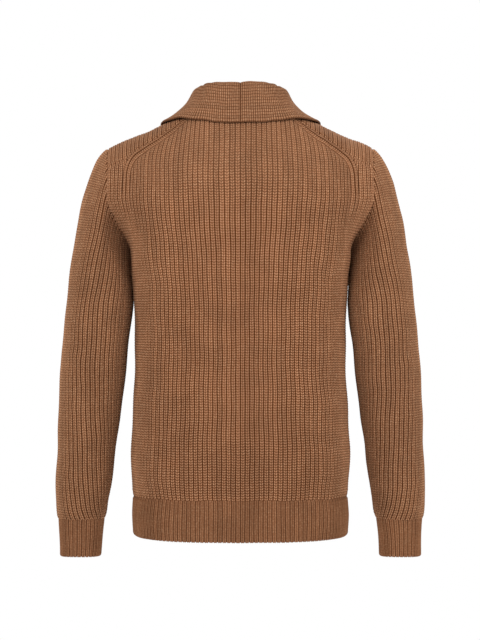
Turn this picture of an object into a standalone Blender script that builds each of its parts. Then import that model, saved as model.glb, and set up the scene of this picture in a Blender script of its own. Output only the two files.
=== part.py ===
"""Shawl collar cardigan in chunky rib knit, filled out on a general figure.

The frame: +Z up, the fronts face -Y, the wearer's left is +X. The origin lies level with the high
shoulder points, in the middle of the neck, where the wearer's shoulders carry the garment.
Sizes are millimetres here, and become metres when a mesh is made.

The body is one smooth surface with two coordinates. "Across" is the distance round from the centre
line, and "up" is the distance along a rib from the split height: below it a rib is upright, above
it the rib bends over the shoulder. Panels are areas of that surface, so neighbours meet exactly.
"""

import math

import bmesh
import bpy
import numpy as np

MM = 0.001
GAP = 0.3                 # between two pieces at a seam
WALL = 2.4                # cloth from its inside to the bottom of the ribs
RIB_RISE = 1.3            # how far a rib stands up from the valleys beside it
PITCH = 7.34              # one rib and its valley

# The body's surface
BACK_RIBS = 32            # from the centre back to the side seam
FRONT_RIBS = 33           # from the centre front to the side seam
SPLIT = -135.0            # height where the ribs begin to bend over the shoulder
UNDERARM = -222.0         # height of the bottom of the armhole
ROUND = 2.5               # power of the rounded body section
TOP_HALF_WIDTH = 225.0    # half width that the section would have above the armhole's bottom
TOP_CURL = 1.3e-6         # how much of the distance across goes round the shoulder blade
ARCH_POWER = 2.2          # power of the curve that bends over the shoulder
RIDGE_Y = 4.0             # the shoulder's ridge lies just behind the origin

HEM_TOP = -604.0
HEM_BOTTOM = -667.0
HEM_SIDE_RISE = 7.5       # the hem is that much higher at the sides
HEM_RISE_POWER = 4        # power of the curve that the hem rises in

TORSO = (                 # height, half width, depth of the back, depth of the front
    (-680.0, 167.0, 103.0, 114.0),
    (-636.0, 169.5, 105.0, 116.0),
    (-604.0, 167.5, 104.0, 116.0),
    (-560.0, 171.0, 107.0, 119.0),
    (-504.0, 169.5, 106.0, 120.0),
    (-447.0, 166.5, 102.0, 120.0),
    (-385.0, 164.0, 99.0, 120.0),
    (-335.0, 165.0, 101.0, 122.0),
    (-280.0, 167.5, 108.0, 124.0),
    (-222.0, 171.0, 114.0, 125.0),
    (-135.0, 171.0, 117.0, 123.0),
)
HALF_WIDTH, BACK_DEPTH, FRONT_DEPTH = 1, 2, 3

RIDGE = (                 # distance from the middle, height of the shoulder's ridge
    (-30.0, 18.0),
    (0.0, 22.0),
    (30.0, 18.0),
    (60.0, 8.0),
    (80.0, -2.0),
    (100.0, -11.0),
    (125.0, -22.3),
    (143.0, -31.3),
    (172.0, -43.2),
    (200.0, -55.2),
    (221.0, -67.2),
    (240.0, -86.0),
)

SHOULDER_SEAM = (         # distance from the middle, height of the seam, which lies on the back
    (79.0, -9.0),
    (96.0, -20.0),
    (115.0, -35.0),
    (142.0, -54.0),
    (171.0, -73.0),
    (187.0, -83.0),
    (207.0, -92.0),
)

# Ribs counted from the middle
ARMHOLE_RIB = 30          # the armhole's upright edge
STRIP_RIB = 24            # the two fashioned ribs, which turn along the shoulder seam
STRIP_WIDTH_RIBS = 2
NECK_RIB = 11             # the shoulder seam's end at the neck
BAND_RIB = 2.5            # the fronts' edge, where the button bands are sewn on
BACK_NECK_HEIGHT = -8.0
BREAK = -262.0            # height where the bands open into the collar

SIDE_BACK, SIDE_FRONT = 1, -1


def follow(table, column, at):
    """A column of a table at any place between its rows, as a smooth curve through them."""
    stations, values = np.array(sorted((row[0], row[column]) for row in table), float).T
    slopes = np.gradient(values, stations)
    at = np.clip(np.asarray(at, float), stations[0], stations[-1])
    row = np.clip(np.searchsorted(stations, at) - 1, 0, len(stations) - 2)
    step = stations[row + 1] - stations[row]
    t = (at - stations[row]) / step
    start = (2 * t**3 - 3 * t**2 + 1) * values[row] + (t**3 - 2 * t**2 + t) * step * slopes[row]
    end = (3 * t**2 - 2 * t**3) * values[row + 1] + (t**3 - t**2) * step * slopes[row + 1]
    return start + end


def smooth(t):
    t = np.clip(t, 0.0, 1.0)
    return t * t * (3 - 2 * t)


def quarter_curve(wide, high, power, count=2001):
    """A quarter of a rounded section: its even share of length, its two coordinates, its length."""
    angle = np.linspace(0, math.pi / 2, count)
    first = np.sin(angle) ** (2 / power)
    second = np.cos(angle) ** (2 / power)
    steps = np.hypot(np.diff(first) * wide, np.diff(second) * high)
    length = np.concatenate([[0.0], np.cumsum(steps)])
    return length / length[-1], first, second, length[-1]


SECTION_SHARE, SECTION_X, SECTION_Y, _ = quarter_curve(168.0, 107.0, ROUND)
ARCH_SHARE, ARCH_Z, ARCH_Y, ARCH_UNIT = quarter_curve(1.1, 1.0, ARCH_POWER)
ARCH_LENGTH = ARCH_UNIT / math.hypot(1.1, 1.0)


def quarter(side):
    return PITCH * (BACK_RIBS if side == SIDE_BACK else FRONT_RIBS)


def arch(x, side):
    """Rise, depth and length of the curve from the split height to the ridge."""
    column = BACK_DEPTH if side == SIDE_BACK else FRONT_DEPTH
    full = follow(TORSO, column, SPLIT)
    within = np.clip(x / TOP_HALF_WIDTH, 0, 1)
    depth = full * (1 - within**ROUND) ** (1 / ROUND) - side * RIDGE_Y
    rise = follow(RIDGE, 1, x) - SPLIT
    return rise, depth, ARCH_LENGTH * np.hypot(rise, depth)


def body(across, up, side):
    """Points of the body's surface for a distance round from the middle and one along the rib."""
    across, up = np.broadcast_arrays(np.asarray(across, float), np.asarray(up, float))
    hand = np.where(across < 0, -1.0, 1.0)
    across = np.abs(across)
    column = BACK_DEPTH if side == SIDE_BACK else FRONT_DEPTH
    low = np.minimum(up, 0.0) + SPLIT
    share = across / quarter(side)
    ring_x = follow(TORSO, HALF_WIDTH, low) * np.interp(share, SECTION_SHARE, SECTION_X)
    ring_y = follow(TORSO, column, low) * np.interp(share, SECTION_SHARE, SECTION_Y)
    top_x = across - TOP_CURL * across**3
    rise, depth, length = arch(top_x, side)
    opened = smooth((low - UNDERARM) / (SPLIT - UNDERARM))
    x = ring_x + (top_x - ring_x) * opened
    y = side * ring_y + (side * depth + RIDGE_Y - side * ring_y) * opened
    z = low.copy()
    bent = np.clip(up, 0.0, None) / length
    over = bent > 1
    near = np.where(over, 1.0, bent)
    z = z + rise * np.interp(near, ARCH_SHARE, ARCH_Z)
    y = np.where(up > 0, RIDGE_Y + side * depth * np.interp(near, ARCH_SHARE, ARCH_Y), y)
    if over.any():
        _, far_depth, far_length = arch(top_x, -side)
        beyond = 1 - (np.clip(up, 0.0, None) - length) / far_length
        far_z = SPLIT + rise * np.interp(beyond, ARCH_SHARE, ARCH_Z)
        far_y = RIDGE_Y - side * far_depth * np.interp(beyond, ARCH_SHARE, ARCH_Y)
        z = np.where(over, far_z, z)
        y = np.where(over, far_y, y)
    return np.stack([hand * x, y, z], axis=-1)


def body_normal(across, up, side):
    step = 0.5
    along = body(across + step, up, side) - body(across - step, up, side)
    rising = body(across, up + step, side) - body(across, up - step, side)
    normal = np.cross(along, rising) * -side
    return normal / np.linalg.norm(normal, axis=-1, keepdims=True)


def up_at(across, height, side):
    """The distance up the rib at which the body's surface reaches a height above the split."""
    rise, _, length = arch(across - TOP_CURL * across**3, side)
    return np.interp((height - SPLIT) / rise, ARCH_Z, ARCH_SHARE) * length


def seam_up(across, side):
    """The shoulder seam, from the back's split height or, over the ridge, from the front's."""
    x = across - TOP_CURL * across**3
    behind = up_at(across, follow(SHOULDER_SEAM, 1, x), SIDE_BACK)
    if side == SIDE_BACK:
        return behind
    return arch(x, SIDE_FRONT)[2] + arch(x, SIDE_BACK)[2] - behind


class Soup:
    """Faces of one piece, each with its own corners, which are merged where they meet."""

    def __init__(self):
        self.faces = []

    def grid(self, points):
        for low, high in zip(points[:-1], points[1:]):
            for k in range(len(low) - 1):
                self.faces.append((low[k], low[k + 1], high[k + 1], high[k]))

    def strip(self, first, second, first_at=None, second_at=None):
        """Triangles between two lines with their own numbers of points."""
        first_at = np.linspace(0, 1, len(first)) if first_at is None else first_at
        second_at = np.linspace(0, 1, len(second)) if second_at is None else second_at
        i = j = 0
        while i < len(first) - 1 or j < len(second) - 1:
            step_first = j == len(second) - 1 or (
                i < len(first) - 1 and first_at[i + 1] <= second_at[j + 1]
            )
            if step_first:
                self.faces.append((first[i], first[i + 1], second[j]))
                i += 1
            else:
                self.faces.append((first[i], second[j + 1], second[j]))
                j += 1

    def mirrored(self):
        """The same faces again on the other side of the middle."""
        flip = np.array([-1.0, 1.0, 1.0])
        self.faces += [tuple(corner * flip for corner in face) for face in list(self.faces)]

    def flip(self):
        """Every face moved to the other side of the middle."""
        flip = np.array([-1.0, 1.0, 1.0])
        self.faces = [tuple(corner * flip for corner in face) for face in self.faces]


def finish(name, soup, colour, roughness):
    """One closed object from a piece's faces, with its material."""
    mesh = bpy.data.meshes.new(name)
    work = bmesh.new()
    for face in soup.faces:
        work.faces.new([work.verts.new(tuple(corner * MM)) for corner in face])
    bmesh.ops.remove_doubles(work, verts=work.verts, dist=0.000005)
    bmesh.ops.recalc_face_normals(work, faces=work.faces)
    if work.calc_volume(signed=True) < 0:
        bmesh.ops.reverse_faces(work, faces=work.faces)
    work.to_mesh(mesh)
    work.free()
    material = bpy.data.materials.new(name)
    material.use_nodes = True
    shader = material.node_tree.nodes["Principled BSDF"]
    shader.inputs["Base Color"].default_value = (*colour, 1.0)
    shader.inputs["Roughness"].default_value = roughness
    shader.inputs["Metallic"].default_value = 0.0
    mesh.materials.append(material)
    mesh.shade_smooth()
    mesh.set_sharp_from_angle(angle=math.radians(50))
    piece = bpy.data.objects.new(name, mesh)
    bpy.context.scene.collection.objects.link(piece)
    return piece


# ---------------------------------------------------------------- panels of the body
HALF_RIB = PITCH / 2
EDGE = 2 * ARMHOLE_RIB                       # columns are half ribs: even ones are valleys
STRIP = 2 * STRIP_RIB
STRIP_END = STRIP + 2 * STRIP_WIDTH_RIBS
NECK = 2 * NECK_RIB
BACK_NECK = NECK - 4                         # the strip's inner line reaches the neck there
TURN = 32.0                                  # how far from its corner the strip begins to turn
STRAIGHT_RIBS = 18                           # ribs that reach the strip without leaning
STRAIGHT_POINTS, BEND_POINTS = 30, 60        # along the strip's outer line
LOW_UPS = (HEM_TOP - SPLIT + GAP / 2, -365.0, -250.0, BREAK - SPLIT)
ARMHOLE_DROP = UNDERARM - SPLIT
ARMHOLE_POWER = 0.55
SEAM_INSET = 0.25            # from the slanting shoulder seam to each panel's edge, up the rib
FIELD_ROWS = 5
BACK_EDGE_SHARES = tuple(k / (FIELD_ROWS + 2) for k in range(FIELD_ROWS + 3))
SHOULDER_SHARES = (0.0, 0.2, 0.38, 0.54, 0.66, 0.76, 0.87, 0.95, 1.0)


def columns(first, last, side):
    """Distances across of a run of half ribs, with the seams' gaps at the panel's own edges."""
    across = np.arange(first, last + 1) * HALF_RIB
    across[across > quarter(side) - GAP / 2] = quarter(side) - GAP / 2
    return np.where(np.arange(first, last + 1) == EDGE, across - GAP / 2, across)


def armhole_up(across, side):
    """The armhole's lower curve, from its upright edge down to the side seam."""
    edge = EDGE * HALF_RIB - GAP / 2
    share = np.clip((across - edge) / (quarter(side) - GAP / 2 - edge), 0, 1)
    return (ARMHOLE_DROP - GAP / 2) * share**ARMHOLE_POWER


def armhole_edge(side):
    """The places of a panel's corners along the armhole, from the side seam to the shoulder."""
    last = 2 * (BACK_RIBS if side == SIDE_BACK else FRONT_RIBS)
    across = columns(EDGE, last, side)[::-1]
    curve = places(across, armhole_up(across, side))
    top = seam_up(across[-1], side) - SEAM_INSET
    shares = BACK_EDGE_SHARES if side == SIDE_BACK else SHOULDER_SHARES
    return curve, places(across[-1], top * np.array(shares))


def blend_patch(bottom, top, left, right):
    """A grid of places inside four edges, each a line of (across, up) places."""
    s = np.linspace(0, 1, len(left))[:, None, None]
    t = np.linspace(0, 1, len(bottom))[None, :, None]
    bottom, top = np.asarray(bottom)[None], np.asarray(top)[None]
    left, right = np.asarray(left)[:, None], np.asarray(right)[:, None]
    ruled = (1 - s) * bottom + s * top + (1 - t) * left + t * right
    corners = (
        (1 - s) * (1 - t) * bottom[:, :1]
        + (1 - s) * t * bottom[:, -1:]
        + s * (1 - t) * top[:, :1]
        + s * t * top[:, -1:]
    )
    return ruled - corners


def places(across, up):
    across, up = np.broadcast_arrays(across, up)
    return np.stack([across, up], axis=-1)


def two_faces(soup, grid, side, raised, kept_rows, kept_columns, full_end=False):
    """The outside of an area, with its ribs, and its plain inside on fewer points.

    With full_end, the inside's last row keeps every point, because it runs along a curved seam.
    """
    base = body(grid[..., 0], grid[..., 1], side)
    normal = body_normal(grid[..., 0], grid[..., 1], side)
    outside = base + normal * raised[..., None]
    inside = base - normal * WALL
    soup.grid(outside)
    kept_rows = list(kept_rows)
    if full_end:
        last = kept_rows.pop()
        at = np.arange(grid.shape[1])
        soup.strip(inside[kept_rows[-1], kept_columns], inside[last], at[kept_columns], at)
    soup.grid(inside[np.ix_(kept_rows, kept_columns)])
    return outside, inside


def rim(soup, outside, inside, kept=None):
    """Closes the wall's edge between the outer line and the inner line, or its kept points."""
    at = np.arange(len(outside))
    kept = at if kept is None else kept
    soup.strip(outside, inside[kept], at, at[kept])


def rib_columns(first, last, rows):
    """The height of each column's points: crests on the odd ones."""
    return np.tile(np.where(np.arange(first, last + 1) % 2, RIB_RISE, 0.0), (rows, 1))


def strip_lines(seam_points=400):
    """The fashioned strip's inner and outer lines, from the split height round to the neck."""
    outer_across = STRIP_END * HALF_RIB
    corner_up = seam_up(np.float64(outer_across), SIDE_BACK)
    start = np.array([outer_across, corner_up - TURN])
    seam_across = np.linspace(outer_across, NECK * HALF_RIB, seam_points)
    seam = places(seam_across, seam_up(seam_across, SIDE_BACK) - SEAM_INSET)
    gone = np.concatenate([[0], np.cumsum(np.linalg.norm(np.diff(seam, axis=0), axis=1))])
    end = np.argmax(gone > TURN)
    t = np.linspace(0, 1, BEND_POINTS)[:, None]
    bend = (1 - t) ** 2 * start + 2 * t * (1 - t) * seam[0] + t**2 * seam[end]
    upright = places(outer_across, np.linspace(0, start[1], STRAIGHT_POINTS)[:-1])
    outer = np.concatenate([upright, bend, seam[end + 1:]])
    ahead = np.gradient(outer, axis=0)
    ahead /= np.linalg.norm(ahead, axis=1, keepdims=True)
    inward = np.stack([-ahead[:, 1], ahead[:, 0]], axis=1)
    inner = outer + inward * STRIP_WIDTH_RIBS * PITCH
    bend_start = STRAIGHT_POINTS - 1
    marks = {"bend": bend_start + BEND_POINTS // 2, "seam": bend_start + BEND_POINTS - 1}
    return inner, outer, marks


def line_at(line, index):
    return np.stack([np.interp(index, np.arange(len(line)), line[:, k]) for k in (0, 1)], axis=-1)


def back_neck(inner):
    """The back's neck edge, from the middle to the corner where the strip's inner line ends."""
    across = np.arange(BACK_NECK + 1) * HALF_RIB
    ups = up_at(across, BACK_NECK_HEIGHT, SIDE_BACK)
    ups += (inner[-1, 1] - ups[-1]) * smooth(across / across[-1])
    line = places(across, ups)
    line[-1] = inner[-1]
    return line


def back_panel():
    soup = Soup()
    side = SIDE_BACK
    last = 2 * BACK_RIBS
    inner, outer, marks = strip_lines()
    rows = FIELD_ROWS

    # Where the inner panel's columns meet the strip
    straight = 2 * STRAIGHT_RIBS
    meeting = np.arange(STRIP, BACK_NECK - 1, -1)
    seam_inner = inner[marks["seam"], 0]
    squeezed = np.interp(meeting, (straight, STRIP - 2), (straight * HALF_RIB, seam_inner))
    target = np.where(meeting <= straight, meeting * HALF_RIB, squeezed)
    index = np.interp(-target, -inner[:, 0], np.arange(len(inner)))
    index[0] = marks["bend"]
    index[1] = (marks["bend"] + marks["seam"]) / 2
    index[2] = marks["seam"]
    index[-1] = len(inner) - 1
    rising = np.linspace(0, marks["bend"], rows + 1)
    along = np.concatenate([rising[:-1], index])

    # Below the split
    kept = [0, 6, 12, 18, 24, 30, 36, 42, 46, 47, 48, 52, 56, 60, 61, 62, 63, 64]
    across = columns(0, last, side)
    top = np.where(np.arange(last + 1) > EDGE, armhole_up(across, side), 0.0)
    ups = [np.full(last + 1, up) for up in LOW_UPS] + [(LOW_UPS[-1] + top) / 2, top]
    low = places(across, np.array(ups))
    raised = rib_columns(0, last, len(low))
    raised[-1, EDGE:] = 0
    raised[:, -1] = 0
    outside, inside = two_faces(soup, low, side, raised, range(len(low)), kept)
    rim(soup, outside[0], inside[0], kept)
    rim(soup, outside[:, -1], inside[:, -1])
    rim(soup, outside[-1, EDGE:], inside[-1, EDGE:])

    # Inside the strip
    neck_line = back_neck(inner)
    top_line = np.concatenate([neck_line[:-1], line_at(inner, index)[::-1]])
    right = line_at(inner, rising)
    left = places(0.0, right[:, 1] / right[-1, 1] * neck_line[0, 1])
    bottom = low[-1, :STRIP + 1]
    field = blend_patch(bottom, top_line, left, right)
    raised = rib_columns(0, STRIP, len(field))
    raised[-1] = 0
    kept_field = [0, 6, 12, 18, 24, 30, 36, 42, 46, 47, 48]
    outside, inside = two_faces(soup, field, side, raised, range(len(field) - 1), kept_field)
    soup.grid(outside[-2:])
    kept_strip = [i for i in kept_field if i > BACK_NECK]
    top_kept = list(range(BACK_NECK + 1)) + kept_strip
    soup.strip(inside[-2, kept_field], inside[-1, top_kept], kept_field, top_kept)
    rim(soup, outside[-1, :BACK_NECK + 1], inside[-1, :BACK_NECK + 1])

    # The strip itself, whose ribs run along it
    share = np.linspace(0, 1, STRIP_END - STRIP + 1)[:, None]
    strip = line_at(inner, along)[:, None] * (1 - share) + line_at(outer, along)[:, None] * share
    raised = rib_columns(STRIP, STRIP_END, len(strip))
    raised[-1] = 0
    seam_row = rows + 2
    wide = STRIP_END - STRIP
    strip_kept = [k for k in range(len(strip)) if k < rows or meeting[k - rows] in kept_field]
    strip_kept = [k for k in strip_kept if k >= seam_row]
    outside, inside = two_faces(soup, strip, side, raised, range(seam_row + 1), [0, wide])
    soup.grid(outside[seam_row + 1:])
    soup.grid(outside[seam_row:seam_row + 2])
    every = np.arange(seam_row, len(strip))
    soup.strip(inside[strip_kept, 0], inside[seam_row:, -1], strip_kept, every)
    rim(soup, outside[seam_row:, -1], inside[seam_row:, -1])
    rim(soup, outside[-1], inside[-1], [0, wide])

    # Between the strip and the armhole
    left = line_at(outer, along[:seam_row + 1])
    corner_across = EDGE * HALF_RIB - GAP / 2
    right = armhole_edge(side)[1]
    top_across = np.linspace(left[-1, 0], corner_across, EDGE - STRIP_END + 1)
    top_line = places(top_across, seam_up(top_across, side) - SEAM_INSET)
    bottom = low[-1, STRIP_END:EDGE + 1]
    field = blend_patch(bottom, top_line, left, right)
    raised = rib_columns(STRIP_END, EDGE, len(field))
    raised[-1] = 0
    outside, inside = two_faces(soup, field, side, raised, range(len(field)), [0, 4, 8], True)
    rim(soup, outside[-1], inside[-1])
    rim(soup, outside[:, -1], inside[:, -1])
    soup.mirrored()
    return soup


# The neck's edge on a front runs from the break to the shoulder seam
NECK_SAG = 7.0            # how far the neck's edge bows outward from a straight line


def neck_edge(share):
    """A place on a front's neck edge, from the break (0) to the shoulder seam (1)."""
    share = np.asarray(share, float)
    low_across = BAND_RIB * PITCH
    high_across = NECK * HALF_RIB
    high_up = seam_up(np.float64(high_across), SIDE_FRONT)
    across = low_across + (high_across - low_across) * share
    across = across - NECK_SAG * np.sin(math.pi * share)
    return places(across, (BREAK - SPLIT) + (high_up - BREAK + SPLIT) * share)


def front_panel(hand):
    """A front, which reaches over the shoulder to the seam on the back."""
    soup = Soup()
    side = SIDE_FRONT
    first, last = round(2 * BAND_RIB), 2 * FRONT_RIBS
    ribs_below = [5, 8, 12, 17, 22, 28, 34, 40, 46, 52, 56, 60, 61, 62, 63, 64, 65, 66]
    ribs_above = [i for i in ribs_below if i >= NECK]

    # Up to the break
    across = columns(first, last, side)
    across[0] += GAP / 2
    low = places(across, np.array([np.full(len(across), up) for up in LOW_UPS]))
    raised = rib_columns(first, last, len(low))
    raised[:, [0, -1]] = 0
    kept = [i - first for i in ribs_below]
    outside, inside = two_faces(soup, low, side, raised, range(len(low)), kept)
    rim(soup, outside[0], inside[0], kept)
    rim(soup, outside[:, 0], inside[:, 0])
    rim(soup, outside[:, -1], inside[:, -1])

    # From the break to the armhole and the split
    start = NECK - first
    top = np.where(np.arange(NECK, last + 1) > EDGE, armhole_up(across[start:], side), 0.0)
    break_row = np.full(last - NECK + 1, LOW_UPS[-1])
    high = places(across[start:], np.array([break_row, (break_row + top) / 2, top]))
    raised = rib_columns(NECK, last, 3)
    raised[-1, EDGE - NECK:] = 0
    raised[:, -1] = 0
    kept = [i - NECK for i in ribs_above]
    outside, inside = two_faces(soup, high, side, raised, range(3), kept)
    rim(soup, outside[:, -1], inside[:, -1])
    rim(soup, outside[-1, EDGE - NECK:], inside[-1, EDGE - NECK:])

    # Over the shoulder
    across = columns(NECK, EDGE, side)
    seam = seam_up(across, side) - SEAM_INSET
    shoulder = places(across, np.array(SHOULDER_SHARES)[:, None] * seam)
    raised = rib_columns(NECK, EDGE, len(shoulder))
    raised[-1] = 0
    kept = [i - NECK for i in ribs_above if i <= EDGE]
    outside, inside = two_faces(soup, shoulder, side, raised, range(len(shoulder)), kept, True)
    rim(soup, outside[-1], inside[-1])
    rim(soup, outside[:, -1], inside[:, -1])

    # Beside the neck, narrowing to nothing at the shoulder seam, under the collar
    outer_edge = np.concatenate([high[:-1, 0], shoulder[:, 0]])
    reach = (outer_edge[:, 1] - outer_edge[0, 1]) / (outer_edge[-1, 1] - outer_edge[0, 1])
    inner_edge = neck_edge(reach)
    inner_edge[:, 0] += GAP / 2
    inner_edge[-1] = outer_edge[-1]
    t = np.linspace(0, 1, 4)[:, None]
    beside = inner_edge[:, None] * (1 - t) + outer_edge[:, None] * t
    raised = np.zeros(beside.shape[:2])
    outside, inside = two_faces(soup, beside[1:], side, raised[1:], range(len(beside) - 1), [0, 3])
    rim(soup, outside[:, 0], inside[:, 0])
    low_line = low[-1, :start + 1]
    heights = rib_columns(first, NECK, 1)[0]
    heights[0] = 0
    base = body(low_line[:, 0], low_line[:, 1], side)
    normal = body_normal(low_line[:, 0], low_line[:, 1], side)
    low_out, low_in = base + normal * heights[:, None], base - normal * WALL
    low_kept = [i - first for i in ribs_below if i <= NECK]
    soup.strip(low_out, outside[0])
    soup.strip(low_in[low_kept], inside[0, [0, 3]])
    soup.faces.append((low_out[0], outside[0, 0], inside[0, 0], low_in[0]))
    if hand < 0:
        soup.flip()
    return soup


# ---------------------------------------------------------------- sleeves, cuffs and hem
SLEEVE_RIBS = 42
SLEEVE_POWER = 2.2
CAP_SHARES = (0.0, 0.07, 0.18, 0.34, 0.55, 0.78)
CAP_START_PULL = (30.0, 140.0)   # how far the sleeve keeps its first direction: underarm, top
CAP_END_PULL = (60.0, 100.0)     # and its last
CUFF_TOP = -641.0
CUFF_BOTTOM = -700.0
FINE_RISE = 0.9                  # the finer ribs of the hem and cuffs
CUFF_RIBS = 34
HEM_RIBS = 33                    # in each quarter of the hem

SLEEVE = (                # height, middle across, middle in depth, half width, half depth
    (-304.0, 222.7, 2.0, 50.0, 64.0),
    (-364.0, 228.0, 0.0, 50.5, 62.0),
    (-439.0, 234.8, -5.0, 49.5, 58.0),
    (-498.0, 240.3, -10.0, 46.3, 53.0),
    (-567.0, 246.4, -15.0, 43.5, 47.0),
    (-605.0, 249.7, -18.0, 41.3, 43.2),
    (-625.0, 250.7, -18.7, 40.0, 41.6),
    (-641.0, 251.5, -19.3, 36.4, 37.2),
)

CUFF = (                  # height, middle across, middle in depth, half width, half depth
    (-641.0, 251.5, -19.3, 35.0, 35.8),
    (-656.0, 252.0, -19.8, 34.0, 34.8),
    (-700.0, 253.6, -21.0, 32.2, 33.2),
)

SLEEVE_HEIGHTS = (-304.0, -430.0, -560.0, -624.0, CUFF_TOP + GAP / 2)
SLEEVE_SHARE, SLEEVE_FIRST, SLEEVE_SECOND, _ = quarter_curve(1.2, 1.0, SLEEVE_POWER)


def sleeve_ring(table, height, around):
    """Points of a sleeve's section; around goes from the underarm, by the back, to 1."""
    middle_x, middle_y, wide, deep = (follow(table, k, height) for k in (1, 2, 3, 4))
    turn = np.asarray(around) % 1.0 * 4
    quadrant = np.floor(turn)
    within = np.where(quadrant % 2 == 0, turn - quadrant, 1 - (turn - quadrant))
    first = np.interp(within, SLEEVE_SHARE, SLEEVE_FIRST)
    second = np.interp(within, SLEEVE_SHARE, SLEEVE_SECOND)
    to_out = np.where((quadrant == 0) | (quadrant == 3), -1.0, 1.0)
    to_back = np.where(quadrant < 2, 1.0, -1.0)
    x = middle_x + wide * second * to_out
    y = middle_y + deep * first * to_back
    return np.stack([x, y, np.broadcast_to(height, x.shape)], axis=-1)


def armhole(count):
    """Points, normals and outward directions for the columns of a sleeve along the armhole.

    Every corner of the panels' edges has its own column, so that both pieces run side by side.
    """
    points, normals = [], []
    for side in (SIDE_BACK, SIDE_FRONT):
        curve, upright = armhole_edge(side)
        line = np.concatenate([curve, upright[1:]])
        spots = body(line[:, 0], line[:, 1], side)
        directions = body_normal(line[:, 0], line[:, 1], side)
        if side == SIDE_FRONT:
            spots, directions = spots[-2::-1], directions[-2::-1]
        points.append(spots)
        normals.append(directions)
    points, normals = np.concatenate(points), np.concatenate(normals)
    points[[0, -1]] = (points[0] + points[-1]) / 2
    lengths = np.linalg.norm(np.diff(points, axis=0), axis=1)
    shares = np.concatenate([[0], np.cumsum(lengths)]) / lengths.sum() * count
    corners = np.round(shares).astype(int)
    for k in range(1, len(corners)):
        corners[k] = max(corners[k], corners[k - 1] + 1)
    corners = np.minimum(corners, count - np.arange(len(corners))[::-1])
    ahead = np.gradient(points, shares, axis=0)
    outward = np.cross(normals, ahead)
    outward[[0, -1]] = (0.0, 0.0, 1.0)
    normals[[0, -1]] = (1.0, 0.0, 0.0)
    found = []
    for values in (points, normals, outward):
        found.append(np.stack([
            np.interp(np.arange(count + 1), corners, values[:, k]) for k in range(3)
        ], axis=-1))
    for k in (1, 2):
        found[k] /= np.linalg.norm(found[k], axis=-1, keepdims=True)
    return found


def cap(around, shares):
    """The sleeve's head, from the armhole to the first of the sleeve's own sections."""
    points, normals, outward = armhole(len(around) - 1)
    top_height = SLEEVE[0][0]
    end = sleeve_ring(SLEEVE, top_height, around)
    ending = np.array([
        SLEEVE[1][1] - SLEEVE[0][1], SLEEVE[1][2] - SLEEVE[0][2], SLEEVE[1][0] - top_height
    ])
    ending /= np.linalg.norm(ending)
    topness = np.sin(math.pi * around)[:, None] ** 2
    sideness = np.sin(2 * math.pi * around)[:, None] ** 2
    facing = np.sign(np.sin(2 * math.pi * around))[:, None]
    start = outward.copy()
    start += sideness * (np.array([0.0, 0.45, 0.0]) * facing + np.array([0.0, 0.0, -1.0]))
    start += (1 - topness) * (1 - sideness) * np.array([0.8, 0.0, 0.0])
    start += topness * (1 - sideness) * np.array([0.0, 0.0, 0.12])
    start /= np.linalg.norm(start, axis=1, keepdims=True)
    pull = CAP_START_PULL[0] + (CAP_START_PULL[1] - CAP_START_PULL[0]) * topness
    push = CAP_END_PULL[0] + (CAP_END_PULL[1] - CAP_END_PULL[0]) * topness
    rows = []
    for t in shares:
        rows.append(
            (2 * t**3 - 3 * t**2 + 1) * (points + outward * GAP)
            + (t**3 - 2 * t**2 + t) * pull * start
            + (3 * t**2 - 2 * t**3) * end
            + (t**3 - t**2) * push * ending
        )
    return np.array(rows), normals


def tube_normals(points):
    """Outward normals of rows that go round and down; the first and last columns are the same."""
    round_it = np.empty_like(points)
    round_it[:, 1:-1] = points[:, 2:] - points[:, :-2]
    round_it[:, 0] = round_it[:, -1] = points[:, 1] - points[:, -2]
    down = np.gradient(points, axis=0)
    normals = np.cross(round_it, down)
    return normals / np.linalg.norm(normals, axis=-1, keepdims=True)


def tube(points, normals, rise, sewn_start, hand):
    """A closed wall round a hollow, with ribs along its outside, and every fourth point inside.

    A start that is sewn on along a curve has no ribs in its first row, and all its inner points.
    """
    count = points.shape[1] - 1
    every = np.arange(count + 1)
    kept = every[::4]
    raised = np.tile(np.where(every % 2, rise, 0.0), (len(points), 1))
    if sewn_start:
        raised[0] = 0
    outside = points + normals * raised[..., None]
    inside = points - normals * WALL
    soup = Soup()
    soup.grid(outside)
    rim(soup, outside[-1], inside[-1], kept)
    if sewn_start:
        soup.strip(inside[0], inside[1, kept], every, kept)
        soup.grid(inside[1:, kept])
        rim(soup, outside[0], inside[0])
    else:
        soup.grid(inside[:, kept])
        rim(soup, outside[0], inside[0], kept)
    if hand < 0:
        soup.flip()
    return soup


def sleeve(hand):
    around = np.linspace(0, 1, 2 * SLEEVE_RIBS + 1)
    head, head_normals = cap(around, CAP_SHARES)
    heights = SLEEVE_HEIGHTS
    points = np.concatenate([head, [sleeve_ring(SLEEVE, height, around) for height in heights]])
    normals = tube_normals(points)
    normals[0] = head_normals
    return tube(points, normals, RIB_RISE, True, hand)


def cuff(hand):
    around = np.linspace(0, 1, 2 * CUFF_RIBS + 1)
    heights = (CUFF_TOP - GAP / 2, CUFF[1][0], CUFF_BOTTOM)
    points = np.array([sleeve_ring(CUFF, height, around) for height in heights])
    return tube(points, tube_normals(points), FINE_RISE, False, hand)


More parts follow.
